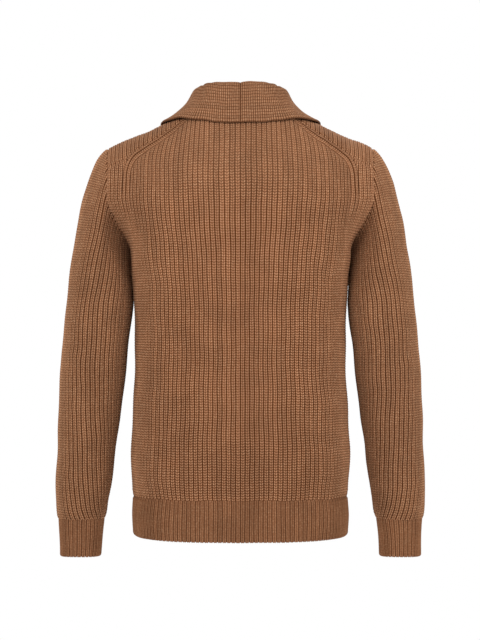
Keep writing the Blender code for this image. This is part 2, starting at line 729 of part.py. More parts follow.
def hem_panel(side, hand=0):
    """The finer ribbed welt below a panel; hand 0 is the whole back."""
    ribs = HEM_RIBS
    first = 0.0 if side == SIDE_BACK else BAND_RIB * PITCH + GAP / 2
    last = quarter(side) - GAP / 2
    share = np.linspace(0, 1, 2 * ribs + 1)
    across = first + (last - first) * share
    drop = HEM_BOTTOM - SPLIT + HEM_SIDE_RISE * (across / quarter(side)) ** HEM_RISE_POWER
    rows = places(across, np.array([np.full(len(across), HEM_TOP - SPLIT - GAP / 2), drop]))
    raised = np.tile(np.where(np.arange(len(across)) % 2, FINE_RISE, 0.0), (2, 1))
    soup = Soup()
    every = 6
    kept = list(range(0, len(across), every))
    kept[-1] = len(across) - 1
    outside, inside = two_faces(soup, rows, side, raised, range(2), kept)
    rim(soup, outside[0], inside[0], kept)
    rim(soup, outside[1], inside[1], kept)
    rim(soup, outside[:, -1], inside[:, -1])
    if side == SIDE_BACK:
        soup.mirrored()
    else:
        rim(soup, outside[:, 0], inside[:, 0])
        if hand < 0:
            soup.flip()
    return soup


# ---------------------------------------------------------------- bands and collar
COLLAR_WALL = 3.2
ROLL = 5.0                # radius of the roll
SEAM_STEP = 6.3           # where a band has reached its own level, from its seam
BAND_MARGIN = 8.0         # from a band's free edge to its roll, which is flat there
NECK_GAP = 0.8            # between the panels' neck edge and the collar
SHORT_ROLL = 0.6          # of the way to the leaf's edge, the roll's radius where that is short
STAND_SHARE = 0.35        # where the stand's own row of points is, from the seam to the roll
OPENS_FROM, OPENS_OVER = 0.06, 0.2   # places where the flat band turns into the standing collar
BUTTON_HEIGHTS = (-282.0, -370.0, -458.0, -546.0, -634.0)

# The place along the neck is -1 at the bands' lower end, 0 at the break, 1 at the shoulder seam and 2 at the
# centre back. Each row: place, top of the roll (x, y, z), and the leaf's edge: its distance
# across, its distance up the rib, which side those count on, its lift off the body, and how far
# the leaf bows outward
LEFT_COLLAR = (
    (0.00, -10.0, -127.6, -262.0, -18.35, -127.0, -1, 2.8, 0.0),
    (0.06, -10.0, -131.0, -237.0, -9.0, -115.0, -1, 13.0, 0.0),
    (0.12, -2.5, -131.5, -214.0, 22.0, -109.0, -1, 12.0, 1.0),
    (0.20, 7.5, -130.5, -183.0, 58.0, -94.0, -1, 6.5, 2.0),
    (0.34, 18.0, -130.0, -132.0, 92.0, -45.0, -1, 4.6, 3.0),
    (0.50, 29.0, -121.0, -67.0, 109.0, 32.0, -1, 4.4, 4.0),
    (0.60, 37.0, -104.0, -29.0, 114.0, 63.0, -1, 4.2, 4.0),
    (0.70, 46.5, -75.0, 3.0, 119.0, 92.0, -1, 4.0, 4.0),
    (0.80, 57.0, -33.0, 21.5, 124.0, 135.0, -1, 4.0, -1.5),
    (0.86, 61.5, -8.5, 28.0, 126.5, 163.0, -1, 4.0, -4.0),
    (0.92, 64.3, 16.5, 31.4, 122.0, 193.0, -1, 4.0, -5.5),
    (0.96, 65.2, 31.0, 32.7, 113.0, 218.0, -1, 4.0, -5.5),
    (1.00, 64.3, 43.5, 33.6, 99.0, 141.4, 1, 4.0, -5.0),
    (1.10, 60.8, 51.5, 34.8, 86.0, 132.8, 1, 4.0, -4.0),
    (1.20, 56.3, 56.0, 35.6, 75.0, 123.5, 1, 3.9, -3.0),
    (1.40, 48.0, 62.5, 36.8, 55.0, 115.0, 1, 3.8, -1.5),
    (1.60, 33.5, 69.3, 37.2, 36.0, 109.2, 1, 3.8, 0.0),
    (1.80, 18.0, 73.0, 37.3, 18.0, 106.2, 1, 3.8, 0.0),
    (2.00, 0.0, 74.0, 37.4, 0.0, 105.2, 1, 3.8, 0.0),
)
RIGHT_START = (
    (0.00, -3.1, -123.6, -262.0, -8.0, -127.0, -1, -1.2, 0.0),
    (0.06, 0.5, -123.6, -238.0, -6.0, -104.0, -1, -1.2, 0.0),
    (0.12, 4.0, -123.7, -214.5, -2.0, -80.0, -1, -1.2, 0.0),
    (0.18, 7.0, -127.0, -190.0, 18.0, -80.0, -1, 9.0, 0.0),
    (0.24, 11.0, -129.8, -168.0, 54.0, -84.0, -1, 8.0, 2.0),
)
RIGHT_COLLAR = RIGHT_START + LEFT_COLLAR[4:]
LEFT_LEVEL, RIGHT_LEVEL = 2.8, -1.2       # level of each band's cloth, off the body
MORE_PLACES = (0.06, 0.12, 0.20, 0.25, 0.88)
ACROSS, UP, AT_SIDE, LIFT, BOW = 4, 5, 6, 7, 8


def leaf_edge(row):
    """The place in space of a collar row's leaf edge."""
    across, up, side = row[ACROSS], row[UP], row[AT_SIDE]
    return body(across, up, side) + body_normal(across, up, side) * row[LIFT]


def neck_seam():
    """The seam of a band and its collar half: places along it, corners and the body's normals."""
    front_top = seam_up(np.float64(NECK * HALF_RIB), SIDE_FRONT) - SEAM_INSET
    climb = [HEM_BOTTOM - SPLIT, *LOW_UPS, LOW_UPS[-1] / 2, *(front_top * np.array(SHOULDER_SHARES))]
    climb = np.array(climb)
    reach = (climb - LOW_UPS[-1]) / (front_top - LOW_UPS[-1])
    line = neck_edge(np.clip(reach, 0, 1))
    line[:, 0] += GAP / 2
    line[:, 1] = climb
    at = np.where(reach < 0, reach / -reach[0], reach)
    points = [body(line[:, 0], line[:, 1], SIDE_FRONT)]
    normals = [body_normal(line[:, 0], line[:, 1], SIDE_FRONT)]

    inner, outer, _ = strip_lines()
    line = np.concatenate([[(inner[-1] + outer[-1]) / 2], back_neck(inner)[::-3]])
    points.append(body(line[:, 0], line[:, 1], SIDE_BACK))
    normals.append(body_normal(line[:, 0], line[:, 1], SIDE_BACK))
    points, normals = np.concatenate(points), np.concatenate(normals)
    steps = np.linalg.norm(np.diff(points[-len(line) - 1:], axis=0), axis=1)
    at = np.concatenate([at, 1 + np.cumsum(steps) / steps.sum()])
    return at, points, normals, climb


def collar_half(table, level, places_between=MORE_PLACES):
    """The middle surface of a band and its collar half, and the direction of its outside."""
    at, seam, seam_normals, climb = neck_seam()
    stations = np.unique(np.concatenate([at, places_between]))
    seam = np.stack([np.interp(stations, at, seam[:, k]) for k in range(3)], axis=-1)
    upward = np.stack([np.interp(stations, at, seam_normals[:, k]) for k in range(3)], axis=-1)
    upward /= np.linalg.norm(upward, axis=1, keepdims=True)
    ahead = np.gradient(seam, axis=0)
    ahead[-1] = (-1.0, 0.0, 0.0)
    inward = np.cross(upward, ahead)
    inward /= np.linalg.norm(inward, axis=1, keepdims=True)
    rows = [(*row[:ACROSS], *leaf_edge(row), row[BOW]) for row in table]
    roll = np.stack([follow(rows, k, stations) for k in (1, 2, 3)], axis=-1)
    edge = np.stack([follow(rows, k, stations) for k in (4, 5, 6)], axis=-1)
    bow = follow(rows, 7, stations)[:, None]
    start = seam + inward * NECK_GAP - upward * WALL / 2

    # The band's roll and edge keep their distances from the middle of the front
    band = stations <= 0
    band_ups = np.interp(stations[band], at[:len(climb)], climb)
    edge_across = table[0][ACROSS]
    for line, across in ((edge, edge_across), (roll, edge_across + BAND_MARGIN)):
        line[band] = body(across, band_ups, SIDE_FRONT)
        line[band] += body_normal(across, band_ups, SIDE_FRONT) * table[0][LIFT]

    down = start - roll
    down /= np.linalg.norm(down, axis=1, keepdims=True)
    out = edge - roll
    reach = np.linalg.norm(out, axis=1, keepdims=True)
    out /= reach
    apart = out - down
    apart /= np.linalg.norm(apart, axis=1, keepdims=True)
    radius = np.minimum(ROLL, reach * SHORT_ROLL)
    fold = (down + out) / 2
    behind_roll = roll + radius * (fold - apart)
    before_leaf = roll + radius * (fold + apart)
    flat = 1 - smooth((stations - OPENS_FROM) / OPENS_OVER)[:, None]
    beside = (1 - flat) * (start + (behind_roll - start) * STAND_SHARE)
    beside += flat * (seam + inward * SEAM_STEP + upward * level)
    bulge = np.cross(out, ahead)
    bulge /= np.linalg.norm(bulge, axis=1, keepdims=True)
    section = [start, beside, behind_roll, roll, before_leaf]
    for t in (1 / 3, 2 / 3):
        section.append(before_leaf * (1 - t) + edge * t + bulge * bow * 4 * t * (1 - t))
    section.append(edge)
    middle = np.stack(section, axis=1)
    middle[-1, :, 0] = GAP / 2
    along = np.gradient(middle, axis=0)
    along[-1] = (-1.0, 0.0, 0.0)
    normals = np.cross(np.gradient(middle, axis=1), along)
    normals[:, 0] = upward
    normals /= np.linalg.norm(normals, axis=-1, keepdims=True)
    return middle, normals


def collar(table, level, hand):
    soup = Soup()
    middle, normals = collar_half(table, level)
    normals[-1, :, 0] = 0
    outside = middle + normals * COLLAR_WALL / 2
    inside = middle - normals * COLLAR_WALL / 2
    soup.grid(outside)
    soup.grid(inside)
    for line in (np.s_[:, 0], np.s_[:, -1], np.s_[0], np.s_[-1]):
        rim(soup, outside[line], inside[line])
    if hand < 0:
        soup.flip()
    return soup


# ---------------------------------------------------------------- buttons
BUTTON_SIDES = 12
BUTTON_PROFILE = (        # radius, height above the band
    (10.0, 0.0),
    (10.5, 1.3),
    (9.6, 3.0),
    (7.6, 2.3),
)


def button(height):
    """A flat button with a raised rim, on the band that lies on top."""
    ups = np.array([HEM_BOTTOM - SPLIT, *LOW_UPS])
    level = LEFT_LEVEL + COLLAR_WALL / 2 + GAP
    band = body(0.0, ups, SIDE_FRONT) + body_normal(0.0, ups, SIDE_FRONT) * level
    middle, above = (
        np.array([np.interp(at - SPLIT, ups, band[:, k]) for k in range(3)])
        for at in (height, height + 1)
    )
    across = np.array([1.0, 0.0, 0.0])
    upright = (above - middle) / np.linalg.norm(above - middle)
    facing = np.cross(across, upright)
    turn = np.linspace(0, 2 * math.pi, BUTTON_SIDES + 1)[:-1, None]
    rings = []
    for radius, rise in BUTTON_PROFILE:
        rings.append(middle + facing * rise + radius * (np.cos(turn) * across + np.sin(turn) * upright))
    rings = [np.concatenate([ring, ring[:1]]) for ring in rings]
    soup = Soup()
    soup.grid(rings)
    for ring in (rings[0], rings[-1]):
        centre = ring[:-1].mean(axis=0)
        for first, second in zip(ring[:-1], ring[1:]):
            soup.faces.append((first, second, centre))
    return soup


KNIT_BROWN = (0.26, 0.115, 0.055)
BUTTON_BROWN = (0.05, 0.028, 0.018)


def main():
    for thing in list(bpy.data.objects):
        bpy.data.objects.remove(thing, do_unlink=True)
    finish("back", back_panel(), KNIT_BROWN, 0.9)
    finish("front_left", front_panel(1), KNIT_BROWN, 0.9)
    finish("front_right", front_panel(-1), KNIT_BROWN, 0.9)
    for hand, hand_name in ((1, "left"), (-1, "right")):
        finish("sleeve_" + hand_name, sleeve(hand), KNIT_BROWN, 0.9)
        finish("cuff_" + hand_name, cuff(hand), KNIT_BROWN, 0.9)
        finish("hem_" + hand_name, hem_panel(SIDE_FRONT, hand), KNIT_BROWN, 0.9)
    finish("hem_back", hem_panel(SIDE_BACK), KNIT_BROWN, 0.9)
    finish("collar_left", collar(LEFT_COLLAR, LEFT_LEVEL, 1), KNIT_BROWN, 0.9)
    finish("collar_right", collar(RIGHT_COLLAR, RIGHT_LEVEL, -1), KNIT_BROWN, 0.9)
    for number, height in enumerate(BUTTON_HEIGHTS, start=1):
        finish(f"button_{number}", button(height), BUTTON_BROWN, 0.5)


main()
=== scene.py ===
"""Looks of the shawl collar cardigan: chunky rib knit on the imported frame.

Sizes are millimetres in the tables and functions, and become metres when a mesh is made.
The panels lie on the same surface as the CAD solids, with every rib and stitch in their points.
"""

import math
from functools import reduce

import bmesh
import bpy
import numpy as np
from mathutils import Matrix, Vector


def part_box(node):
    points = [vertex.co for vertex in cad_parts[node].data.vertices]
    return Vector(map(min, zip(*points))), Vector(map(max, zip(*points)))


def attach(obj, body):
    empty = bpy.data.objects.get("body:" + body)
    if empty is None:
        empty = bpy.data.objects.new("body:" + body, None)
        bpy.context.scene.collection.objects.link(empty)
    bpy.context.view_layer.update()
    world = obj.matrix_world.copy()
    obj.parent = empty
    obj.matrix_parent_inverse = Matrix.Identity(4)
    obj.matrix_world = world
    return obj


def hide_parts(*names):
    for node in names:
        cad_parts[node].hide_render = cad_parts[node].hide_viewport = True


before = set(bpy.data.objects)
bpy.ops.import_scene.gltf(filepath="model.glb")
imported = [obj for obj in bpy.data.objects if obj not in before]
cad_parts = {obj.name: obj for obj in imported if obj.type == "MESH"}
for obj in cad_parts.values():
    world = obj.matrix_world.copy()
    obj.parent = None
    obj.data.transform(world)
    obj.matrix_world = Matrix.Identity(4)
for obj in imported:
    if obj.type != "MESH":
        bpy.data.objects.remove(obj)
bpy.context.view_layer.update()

MM = 0.001
PITCH = 7.34  # one rib of the body and its valley
COURSE = 3.95  # one row of stitches
PER_RIB = 4  # columns of points in a rib
ROW = COURSE / 2  # between rows of points

# ---- the body's surface, as in the CAD
SIDE_BACK, SIDE_FRONT = 1, -1
RIBS = {SIDE_BACK: 32, SIDE_FRONT: 33}  # from the middle to the side seam
SPLIT = -135.0  # height where the body's tube turns into arches towards the ridge
UNDERARM = -222.0
ROUND = 2.5  # power of the body's section
ARCH_POWER = 2.2  # power of an arch's section
ARCH_LEAN = 1.1  # how high an arch is for its depth, about
TOP_HALF_WIDTH = 225.0
TOP_CURL = 1.3e-6  # how the ribs crowd together over the shoulder
RIDGE_Y = 4.0
HEM_TOP = -604.0
HEM_BOTTOM = -667.0
HEM_SIDE_RISE = 7.5  # how much higher the hem's edge is at the side seam
USUAL_SECTION = (168.0, 107.0)  # half width and depth
CURVE_POINTS = 2001  # in the tables of a section's quarter

TORSO = (  # height, half width, depth of the back, depth of the front
    (-680, 167, 103, 114), (-636, 169.5, 105, 116), (-604, 167.5, 104, 116),
    (-560, 171, 107, 119), (-504, 169.5, 106, 120), (-447, 166.5, 102, 120), (-385, 164, 99, 120),
    (-335, 165, 101, 122), (-280, 167.5, 108, 124), (-222, 171, 114, 125), (-135, 171, 117, 123),
)
HALF_WIDTH = 1  # columns of the table
DEPTH = {SIDE_BACK: 2, SIDE_FRONT: 3}

RIDGE = (  # distance from the middle, height of the shoulder's ridge
    (-30, 18), (0, 22), (30, 18), (60, 8), (80, -2), (100, -11), (125, -22.3), (143, -31.3),
    (172, -43.2), (200, -55.2), (221, -67.2), (240, -86),
)

SHOULDER_SEAM = (  # distance from the middle, height of the seam, which lies on the back
    (79, -9), (96, -20), (115, -35), (142, -54), (171, -73), (187, -83), (207, -92),
)

ARMHOLE_RIB = 30
STRIP_RIB = 24  # where the fashioned strip starts
STRIP_WIDTH_RIBS = 2
STRIP_WIDTH = STRIP_WIDTH_RIBS * PITCH
STRIP_GROOVE = 0.09  # how much wider the strip's grooves are
TURN = 32.0  # length in which the strip turns to run along the shoulder
UPRIGHT_POINTS, BEND_POINTS, SEAM_POINTS = 30, 60, 400  # of the strip's lines
NECK_RIB = 11  # where a shoulder seam ends at the neck
BAND_RIB = 2.5  # where a band is sewn on
BACK_NECK_HEIGHT = -8.0
BACK_NECK_RIB = 9
BREAK = -262.0  # height where the collar starts to turn out of the band
ARMHOLE_POWER = 0.55
NECK_SAG = 7.0  # how hollow the neck edge of a front is
FLIP = np.array([-1.0, 1.0, 1.0])


def hermite(t, start, leaving, end, arriving):
    """A smooth curve from start to end with given slopes."""
    return (
        (2 * t**3 - 3 * t**2 + 1) * start
        + (t**3 - 2 * t**2 + t) * leaving
        + (3 * t**2 - 2 * t**3) * end
        + (t**3 - t**2) * arriving
    )


def follow(table, column, at):
    """A column of a table at any place between its rows, as a smooth curve through them."""
    stations, values = np.array(sorted((row[0], row[column]) for row in table), float).T
    slopes = np.gradient(values, stations)
    at = np.clip(np.asarray(at, float), stations[0], stations[-1])
    row = np.clip(np.searchsorted(stations, at) - 1, 0, len(stations) - 2)
    step = stations[row + 1] - stations[row]
    t = (at - stations[row]) / step
    return hermite(t, values[row], step * slopes[row], values[row + 1], step * slopes[row + 1])


def smooth(t):
    t = np.clip(t, 0.0, 1.0)
    return t * t * (3 - 2 * t)


def unit(vectors):
    return vectors / np.maximum(np.linalg.norm(vectors, axis=-1, keepdims=True), 1e-9)


def gone_along(points):
    """How far each point of a line, or each row of a grid, lies from the first."""
    steps = np.linalg.norm(np.diff(points, axis=0), axis=-1)
    return np.concatenate([[0], np.cumsum(steps if steps.ndim == 1 else steps.mean(axis=1))])


def sample(at, stations, values):
    """Points or vectors at places between those that have a row of values."""
    return np.stack([np.interp(at, stations, column) for column in values.T], axis=-1)


def lane_places(first, last, per_rib=PER_RIB, pitch=PITCH):
    """Distances of the columns of points from one rib to another."""
    return np.arange(round(first * per_rib), round(last * per_rib) + 1) / per_rib * pitch


def lane_rows(lines, lane_at):
    """Lines of points and normals, sampled at distances from their starts, and what is left."""
    rows = []
    for line in lines:
        gone = gone_along(line[:, :3])
        at = np.minimum(lane_at, gone[-1])
        rows.append(np.column_stack([sample(at, gone, line), gone[-1] - at]))
    return np.array(rows)


def round_edge(middle, outward, ahead, radius, last):
    """Rows round an edge, every 30 degrees up to the last, as points and normals."""
    turn = np.radians(np.arange(30, last + 1, 30))[:, None, None]
    facing = outward * np.cos(turn) + ahead * np.sin(turn)
    return middle + facing * radius, facing


def on_hand(hand, *arrays):
    """Points or vectors of the left, mirrored for the right."""
    return [array if hand > 0 else array * FLIP for array in arrays]


def quarter_curve(wide, high, power):
    angle = np.linspace(0, math.pi / 2, CURVE_POINTS)
    first = np.sin(angle) ** (2 / power)
    second = np.cos(angle) ** (2 / power)
    length = gone_along(np.stack([first * wide, second * high], axis=1))
    return length / length[-1], first, second, length[-1]


SECTION_SHARE, SECTION_X, SECTION_Y, _ = quarter_curve(*USUAL_SECTION, ROUND)
ARCH_SHARE, ARCH_Z, ARCH_Y, ARCH_UNIT = quarter_curve(ARCH_LEAN, 1.0, ARCH_POWER)
ARCH_LENGTH = ARCH_UNIT / math.hypot(ARCH_LEAN, 1.0)


def quarter(side):
    return PITCH * RIBS[side]


def at_top(across):
    """How far from the middle plane a rib lies over the split."""
    return across - TOP_CURL * across**3


def arch(x, side):
    within = np.clip(x / TOP_HALF_WIDTH, 0, 1)
    full = follow(TORSO, DEPTH[side], SPLIT)
    depth = full * (1 - within**ROUND) ** (1 / ROUND) - side * RIDGE_Y
    rise = follow(RIDGE, 1, x) - SPLIT
    return rise, depth, ARCH_LENGTH * np.hypot(rise, depth)


def body(across, up, side):
    """Points of the body's surface for a distance round from the middle and one along the rib."""
    across, up = np.broadcast_arrays(np.asarray(across, float), np.asarray(up, float))
    hand = np.where(across < 0, -1.0, 1.0)
    across = np.abs(across)
    low = np.minimum(up, 0.0) + SPLIT
    share = across / quarter(side)
    ring_x = follow(TORSO, HALF_WIDTH, low) * np.interp(share, SECTION_SHARE, SECTION_X)
    ring_y = follow(TORSO, DEPTH[side], low) * np.interp(share, SECTION_SHARE, SECTION_Y)
    top_x = at_top(across)
    rise, depth, length = arch(top_x, side)
    opened = smooth((low - UNDERARM) / (SPLIT - UNDERARM))
    x = ring_x + (top_x - ring_x) * opened
    y = side * ring_y + (side * depth + RIDGE_Y - side * ring_y) * opened
    risen = np.clip(up, 0.0, None)
    bent = risen / length
    over = bent > 1
    near = np.where(over, 1.0, bent)
    z = low + rise * np.interp(near, ARCH_SHARE, ARCH_Z)
    y = np.where(up > 0, RIDGE_Y + side * depth * np.interp(near, ARCH_SHARE, ARCH_Y), y)
    if over.any():
        _, far_depth, far_length = arch(top_x, -side)
        beyond = 1 - (risen - length) / far_length
        z = np.where(over, SPLIT + rise * np.interp(beyond, ARCH_SHARE, ARCH_Z), z)
        far_y = RIDGE_Y - side * far_depth * np.interp(beyond, ARCH_SHARE, ARCH_Y)
        y = np.where(over, far_y, y)
    return np.stack([hand * x, y, z], axis=-1)


def body_normal(across, up, side):
    step = 0.5
    along = body(across + step, up, side) - body(across - step, up, side)
    rising = body(across, up + step, side) - body(across, up - step, side)
    return unit(np.cross(along, rising) * -side)


def up_at(across, height, side):
    rise, _, length = arch(at_top(across), side)
    return np.interp((height - SPLIT) / rise, ARCH_Z, ARCH_SHARE) * length


def seam_up(across, side):
    """The shoulder seam, from the back's split height or, over the ridge, from the front's."""
    across = np.atleast_1d(np.asarray(across, float))
    x = at_top(across)
    behind = up_at(across, follow(SHOULDER_SEAM, 1, x), SIDE_BACK)
    if side == SIDE_BACK:
        return behind
    return arch(x, SIDE_FRONT)[2] + arch(x, SIDE_BACK)[2] - behind


def places(across, up):
    return np.stack(np.broadcast_arrays(across, up), axis=-1)


def strip_lines():
    """The fashioned strip's inner and outer lines, from the split round to the neck."""
    outer_across = (STRIP_RIB + STRIP_WIDTH_RIBS) * PITCH
    start = np.array([outer_across, seam_up(outer_across, SIDE_BACK)[0] - TURN])
    seam_across = np.linspace(outer_across, NECK_RIB * PITCH, SEAM_POINTS)
    seam = places(seam_across, seam_up(seam_across, SIDE_BACK))
    end = np.argmax(gone_along(seam) > TURN)
    t = np.linspace(0, 1, BEND_POINTS)[:, None]
    bend = (1 - t) ** 2 * start + 2 * t * (1 - t) * seam[0] + t**2 * seam[end]
    upright = places(outer_across, np.linspace(0, start[1], UPRIGHT_POINTS)[:-1])
    outer = np.concatenate([upright, bend, seam[end + 1:]])
    ahead = unit(np.gradient(outer, axis=0))
    inward = np.stack([-ahead[:, 1], ahead[:, 0]], axis=1)
    return outer + inward * STRIP_WIDTH, outer


INNER, OUTER = strip_lines()


def back_neck(across):
    """How far up the back's neck edge lies, from the middle to the strip's inner line."""
    last = BACK_NECK_RIB * PITCH
    ends = up_at(last, BACK_NECK_HEIGHT, SIDE_BACK)
    ups = up_at(across, BACK_NECK_HEIGHT, SIDE_BACK)
    return ups + (INNER[-1, 1] - ends) * smooth(across / last)


def neck_edge(share):
    """A place on a front's neck edge, from the break (0) to the shoulder seam (1)."""
    share = np.asarray(share, float)
    low_across, high_across = BAND_RIB * PITCH, NECK_RIB * PITCH
    high_up = seam_up(high_across, SIDE_FRONT)[0]
    across = low_across + (high_across - low_across) * share
    across = across - NECK_SAG * np.sin(math.pi * share)
    return places(across, (BREAK - SPLIT) + (high_up - BREAK + SPLIT) * share)


def armhole_up(across, side):
    edge = ARMHOLE_RIB * PITCH
    share = np.clip((across - edge) / (quarter(side) - edge), 0, 1)
    return (UNDERARM - SPLIT) * share**ARMHOLE_POWER


# ---- folds and unevenness
BACK_FOLDS = (  # from x, z to x, z; half width; height; side (1 back, -1 front)
    (-168, -250, -118, -150, 13, 3, 1), (166, -262, 122, -158, 12, 2.6, 1),
    (-150, -285, -84, -196, 10, -1.6, 1), (146, -300, 92, -214, 11, -1.5, 1),
    (-160, -470, -40, -438, 15, 2.2, 1), (158, -452, 56, -424, 14, 2, 1),
    (-146, -512, -20, -498, 17, -2.2, 1), (150, -505, 10, -476, 15, -1.9, 1),
    (-70, -556, 92, -548, 14, 1.8, 1), (-155, -560, -80, -574, 13, 1.7, 1),
    (156, -566, 96, -578, 12, 1.5, 1), (-30, -330, 14, -420, 22, -1.6, 1),
    (150, -360, 110, -410, 13, 1.6, 1), (-152, -345, -116, -400, 13, 1.7, 1),
    (-160, -250, -110, -160, 13, 2.8, -1), (162, -240, 116, -150, 12, 2.6, -1),
    (-150, -420, -60, -384, 15, 2, -1), (148, -438, 50, -392, 14, 2.2, -1),
    (-156, -520, -44, -500, 16, -2, -1), (152, -512, 60, -486, 14, -1.8, -1),
    (-140, -566, -50, -576, 13, 1.6, -1), (146, -560, 70, -572, 13, 1.5, -1),
)

SLEEVE_FOLDS = (  # from x, z to x, z; half width; height; side
    (176, -262, 212, -330, 9, 2.4, 1), (186, -320, 232, -372, 9, -1.8, 1),
    (276, -372, 214, -402, 9, 2.4, 1), (198, -420, 262, -438, 10, -2, 1),
    (282, -452, 232, -470, 9, 1.8, 1), (210, -508, 268, -534, 9, 1.7, 1),
    (284, -560, 236, -582, 8, 1.6, 1), (180, -270, 216, -338, 9, 2.2, -1),
    (274, -356, 206, -384, 9, -2.2, -1), (196, -404, 266, -426, 10, 2.4, -1),
    (280, -446, 220, -470, 9, -1.8, -1), (206, -500, 262, -520, 9, 2, -1),
    (282, -552, 230, -572, 8, 1.5, -1),
)

FOLD_BOW = 0.12  # how far a fold's line bows out, as a share of its length
FOLD_PAST, FOLD_FADE = 0.1, 0.35  # shares of its length, past and at its ends
FOLD_TURN = 25.0  # depth in which a fold fades towards the garment's other side
ON_MIDDLE = 40.0  # how near the middle seam stitches keep their place
EDGE_CALM = 45.0  # height over the lowest edges in which rows start to wander
STILL_BELOW = HEM_BOTTOM - 5.0  # the lowest edges stay where they are


def folds(points, table):
    """Height of the soft ridges and troughs; each bows a little and fades at its ends."""
    height = np.zeros(points.shape[:-1])
    x, y, z = np.moveaxis(points, -1, 0)
    for x0, z0, x1, z1, wide, high, facing in table:
        run_x, run_z = x1 - x0, z1 - z0
        length2 = run_x**2 + run_z**2
        t = ((x - x0) * run_x + (z - z0) * run_z) / length2
        bend = FOLD_BOW * math.sqrt(length2) * t * (1 - t) * (1 if (x0 + z0) % 2 else -1)
        off = ((x - x0) * run_z - (z - z0) * run_x) / math.sqrt(length2) - bend
        ends = smooth((t + FOLD_PAST) / FOLD_FADE) * smooth((1 + FOLD_PAST - t) / FOLD_FADE)
        near = smooth(y * facing / FOLD_TURN + 0.2)
        height += high * np.exp(-((off / wide) ** 2)) * ends * near
    return height


def unevenness(points):
    """Soft dents, as waves of unlike lengths, so that none comes back."""
    x, y, z = np.moveaxis(points, -1, 0)
    waves = np.sin(x / 23.0 + 1.3 + 0.9 * np.sin(z / 61.0)) * np.sin(z / 37.0 + y / 41.0)
    waves += 0.7 * np.sin(x / 11.0 - z / 29.0 + 0.6) * np.sin(z / 17.0 + x / 53.0)
    waves += 0.5 * np.sin(y / 13.0 + z / 19.0 + 2.0)
    return 0.3 * waves


def drift(points):
    """How far wear has moved the stitches along the cloth; ribs and rows wander a little."""
    x, y, z = np.moveaxis(points, -1, 0)
    across = 0.45 * np.sin(z / 13.0 + 1.7 * np.sin(x / 37.0) + y / 60.0)
    across += 0.3 * np.sin(x / 3.4 + 1.3 * np.sin(z / 41.0)) * np.sin(z / 19.0 + x / 47.0 + 1.0)
    up = 0.6 * np.sin(x / 12.0 + 1.4 * np.sin(z / 53.0) + y / 31.0)
    up += 0.4 * np.sin(x / 4.6 + z / 27.0) * np.sin(z / 8.0 + x / 31.0)
    moved = np.zeros(points.shape)
    moved[..., 0] = across * x**2 / (x**2 + ON_MIDDLE)
    moved[..., 2] = up * smooth((z - STILL_BELOW) / EDGE_CALM)
    return moved


FAN = (  # height, share by which the middle ribs of the back stand further apart
    (-270, 0), (-200, 0.05), (-140, 0.115), (-60, 0.115), (0, 0.07), (30, 0.04),
)


def fan(points):
    """Moves the back's ribs apart between the fashioned strips."""
    x, z = points[..., 0], points[..., 2]
    line = body(*INNER.T, SIDE_BACK)
    line = line[np.argsort(line[:, 2])]
    reach = np.interp(z, line[:, 2], line[:, 0])
    spread = np.interp(z, *np.array(FAN).T)
    moved = points.copy()
    moved[..., 0] += spread * x * np.clip(1 - (x / reach) ** 2, 0, 1)
    return moved


# ---- stitches
PROFILE_AT = (0, 0.25, 0.5, 0.75, 1)
RIB_PROFILES = {  # heights at the valley, the legs and the middle; lumps on the legs, middle
    "body": (-1.35, 1.35, 0.1, 0.38, 0.0),
    "fine": (-1.0, 0.75, 0.0, 0.06, 0.0),
    "collar": (-0.55, 0.0, 0.5, 0.0, 0.22),
}
SEAM_DEPTH = -1.7
SEAM_REACH = 4.2  # distance in which ribs rise out of a seam
SHALLOW_SEAM = 2.4  # taken off the reach of an armhole seam over the shoulder
SHALLOW_IN = 60.0  # height below the split in which that comes
OVER_SHOULDER = 0.22  # share of the ribs' height that is left over the shoulder
SHOULDER_REACH = 45.0  # distance from the seam in which they get it back
AT_HEM, AT_SIDE_SEAM, AT_BAND = 2.0, 1.2, 1.0  # what an edge counts as away from its seam
END_LENGTH = 6.5  # of a rib's rounded end above the hem
END_REACH = 7.0  # distance from the hem within which ribs are rounded off
END_HEIGHT = 3.0
STRIP_FADES_AT = -24.0  # distance up from the split, below which the strip's edges fade out
# Where an edge runs aslant, a distance up the ribs counts for less
BACK_TOP_SLANT, SHOULDER_SLANT, ARMHOLE_SLANT, NECK_SLANT = 0.75, 0.8, 0.5, 0.35
BACK_CALM, FRONT_CALM = 1.2, 2.1  # how far flat ribs reach from the shoulder's seam
ON_SEAM = 0.4  # how near the strip's line counts as on the seam
WELD = 0.02


def stitches(u, v, kind):
    """How far the knit stands out at a place given in ribs and rows of stitches."""
    low, leg, middle, on_leg, on_middle = RIB_PROFILES[kind]
    f = u - np.floor(u)
    height = np.interp(f, PROFILE_AT, (low, leg, middle, leg, low))
    lump = np.interp(f, PROFILE_AT, (0, on_leg, on_middle, on_leg, 0))
    return height + lump * np.cos(2 * math.pi * v)


def sunk(height, free):
    """Heights of the knit, let down into a seam; free is the distance from it."""
    shown = smooth(free / SEAM_REACH)
    return height * shown + SEAM_DEPTH * (1 - shown)


def in_scene(name, mesh, material):
    mesh.materials.append(material)
    mesh.shade_smooth()
    piece = bpy.data.objects.new(name, mesh)
    bpy.context.scene.collection.objects.link(piece)
    return piece


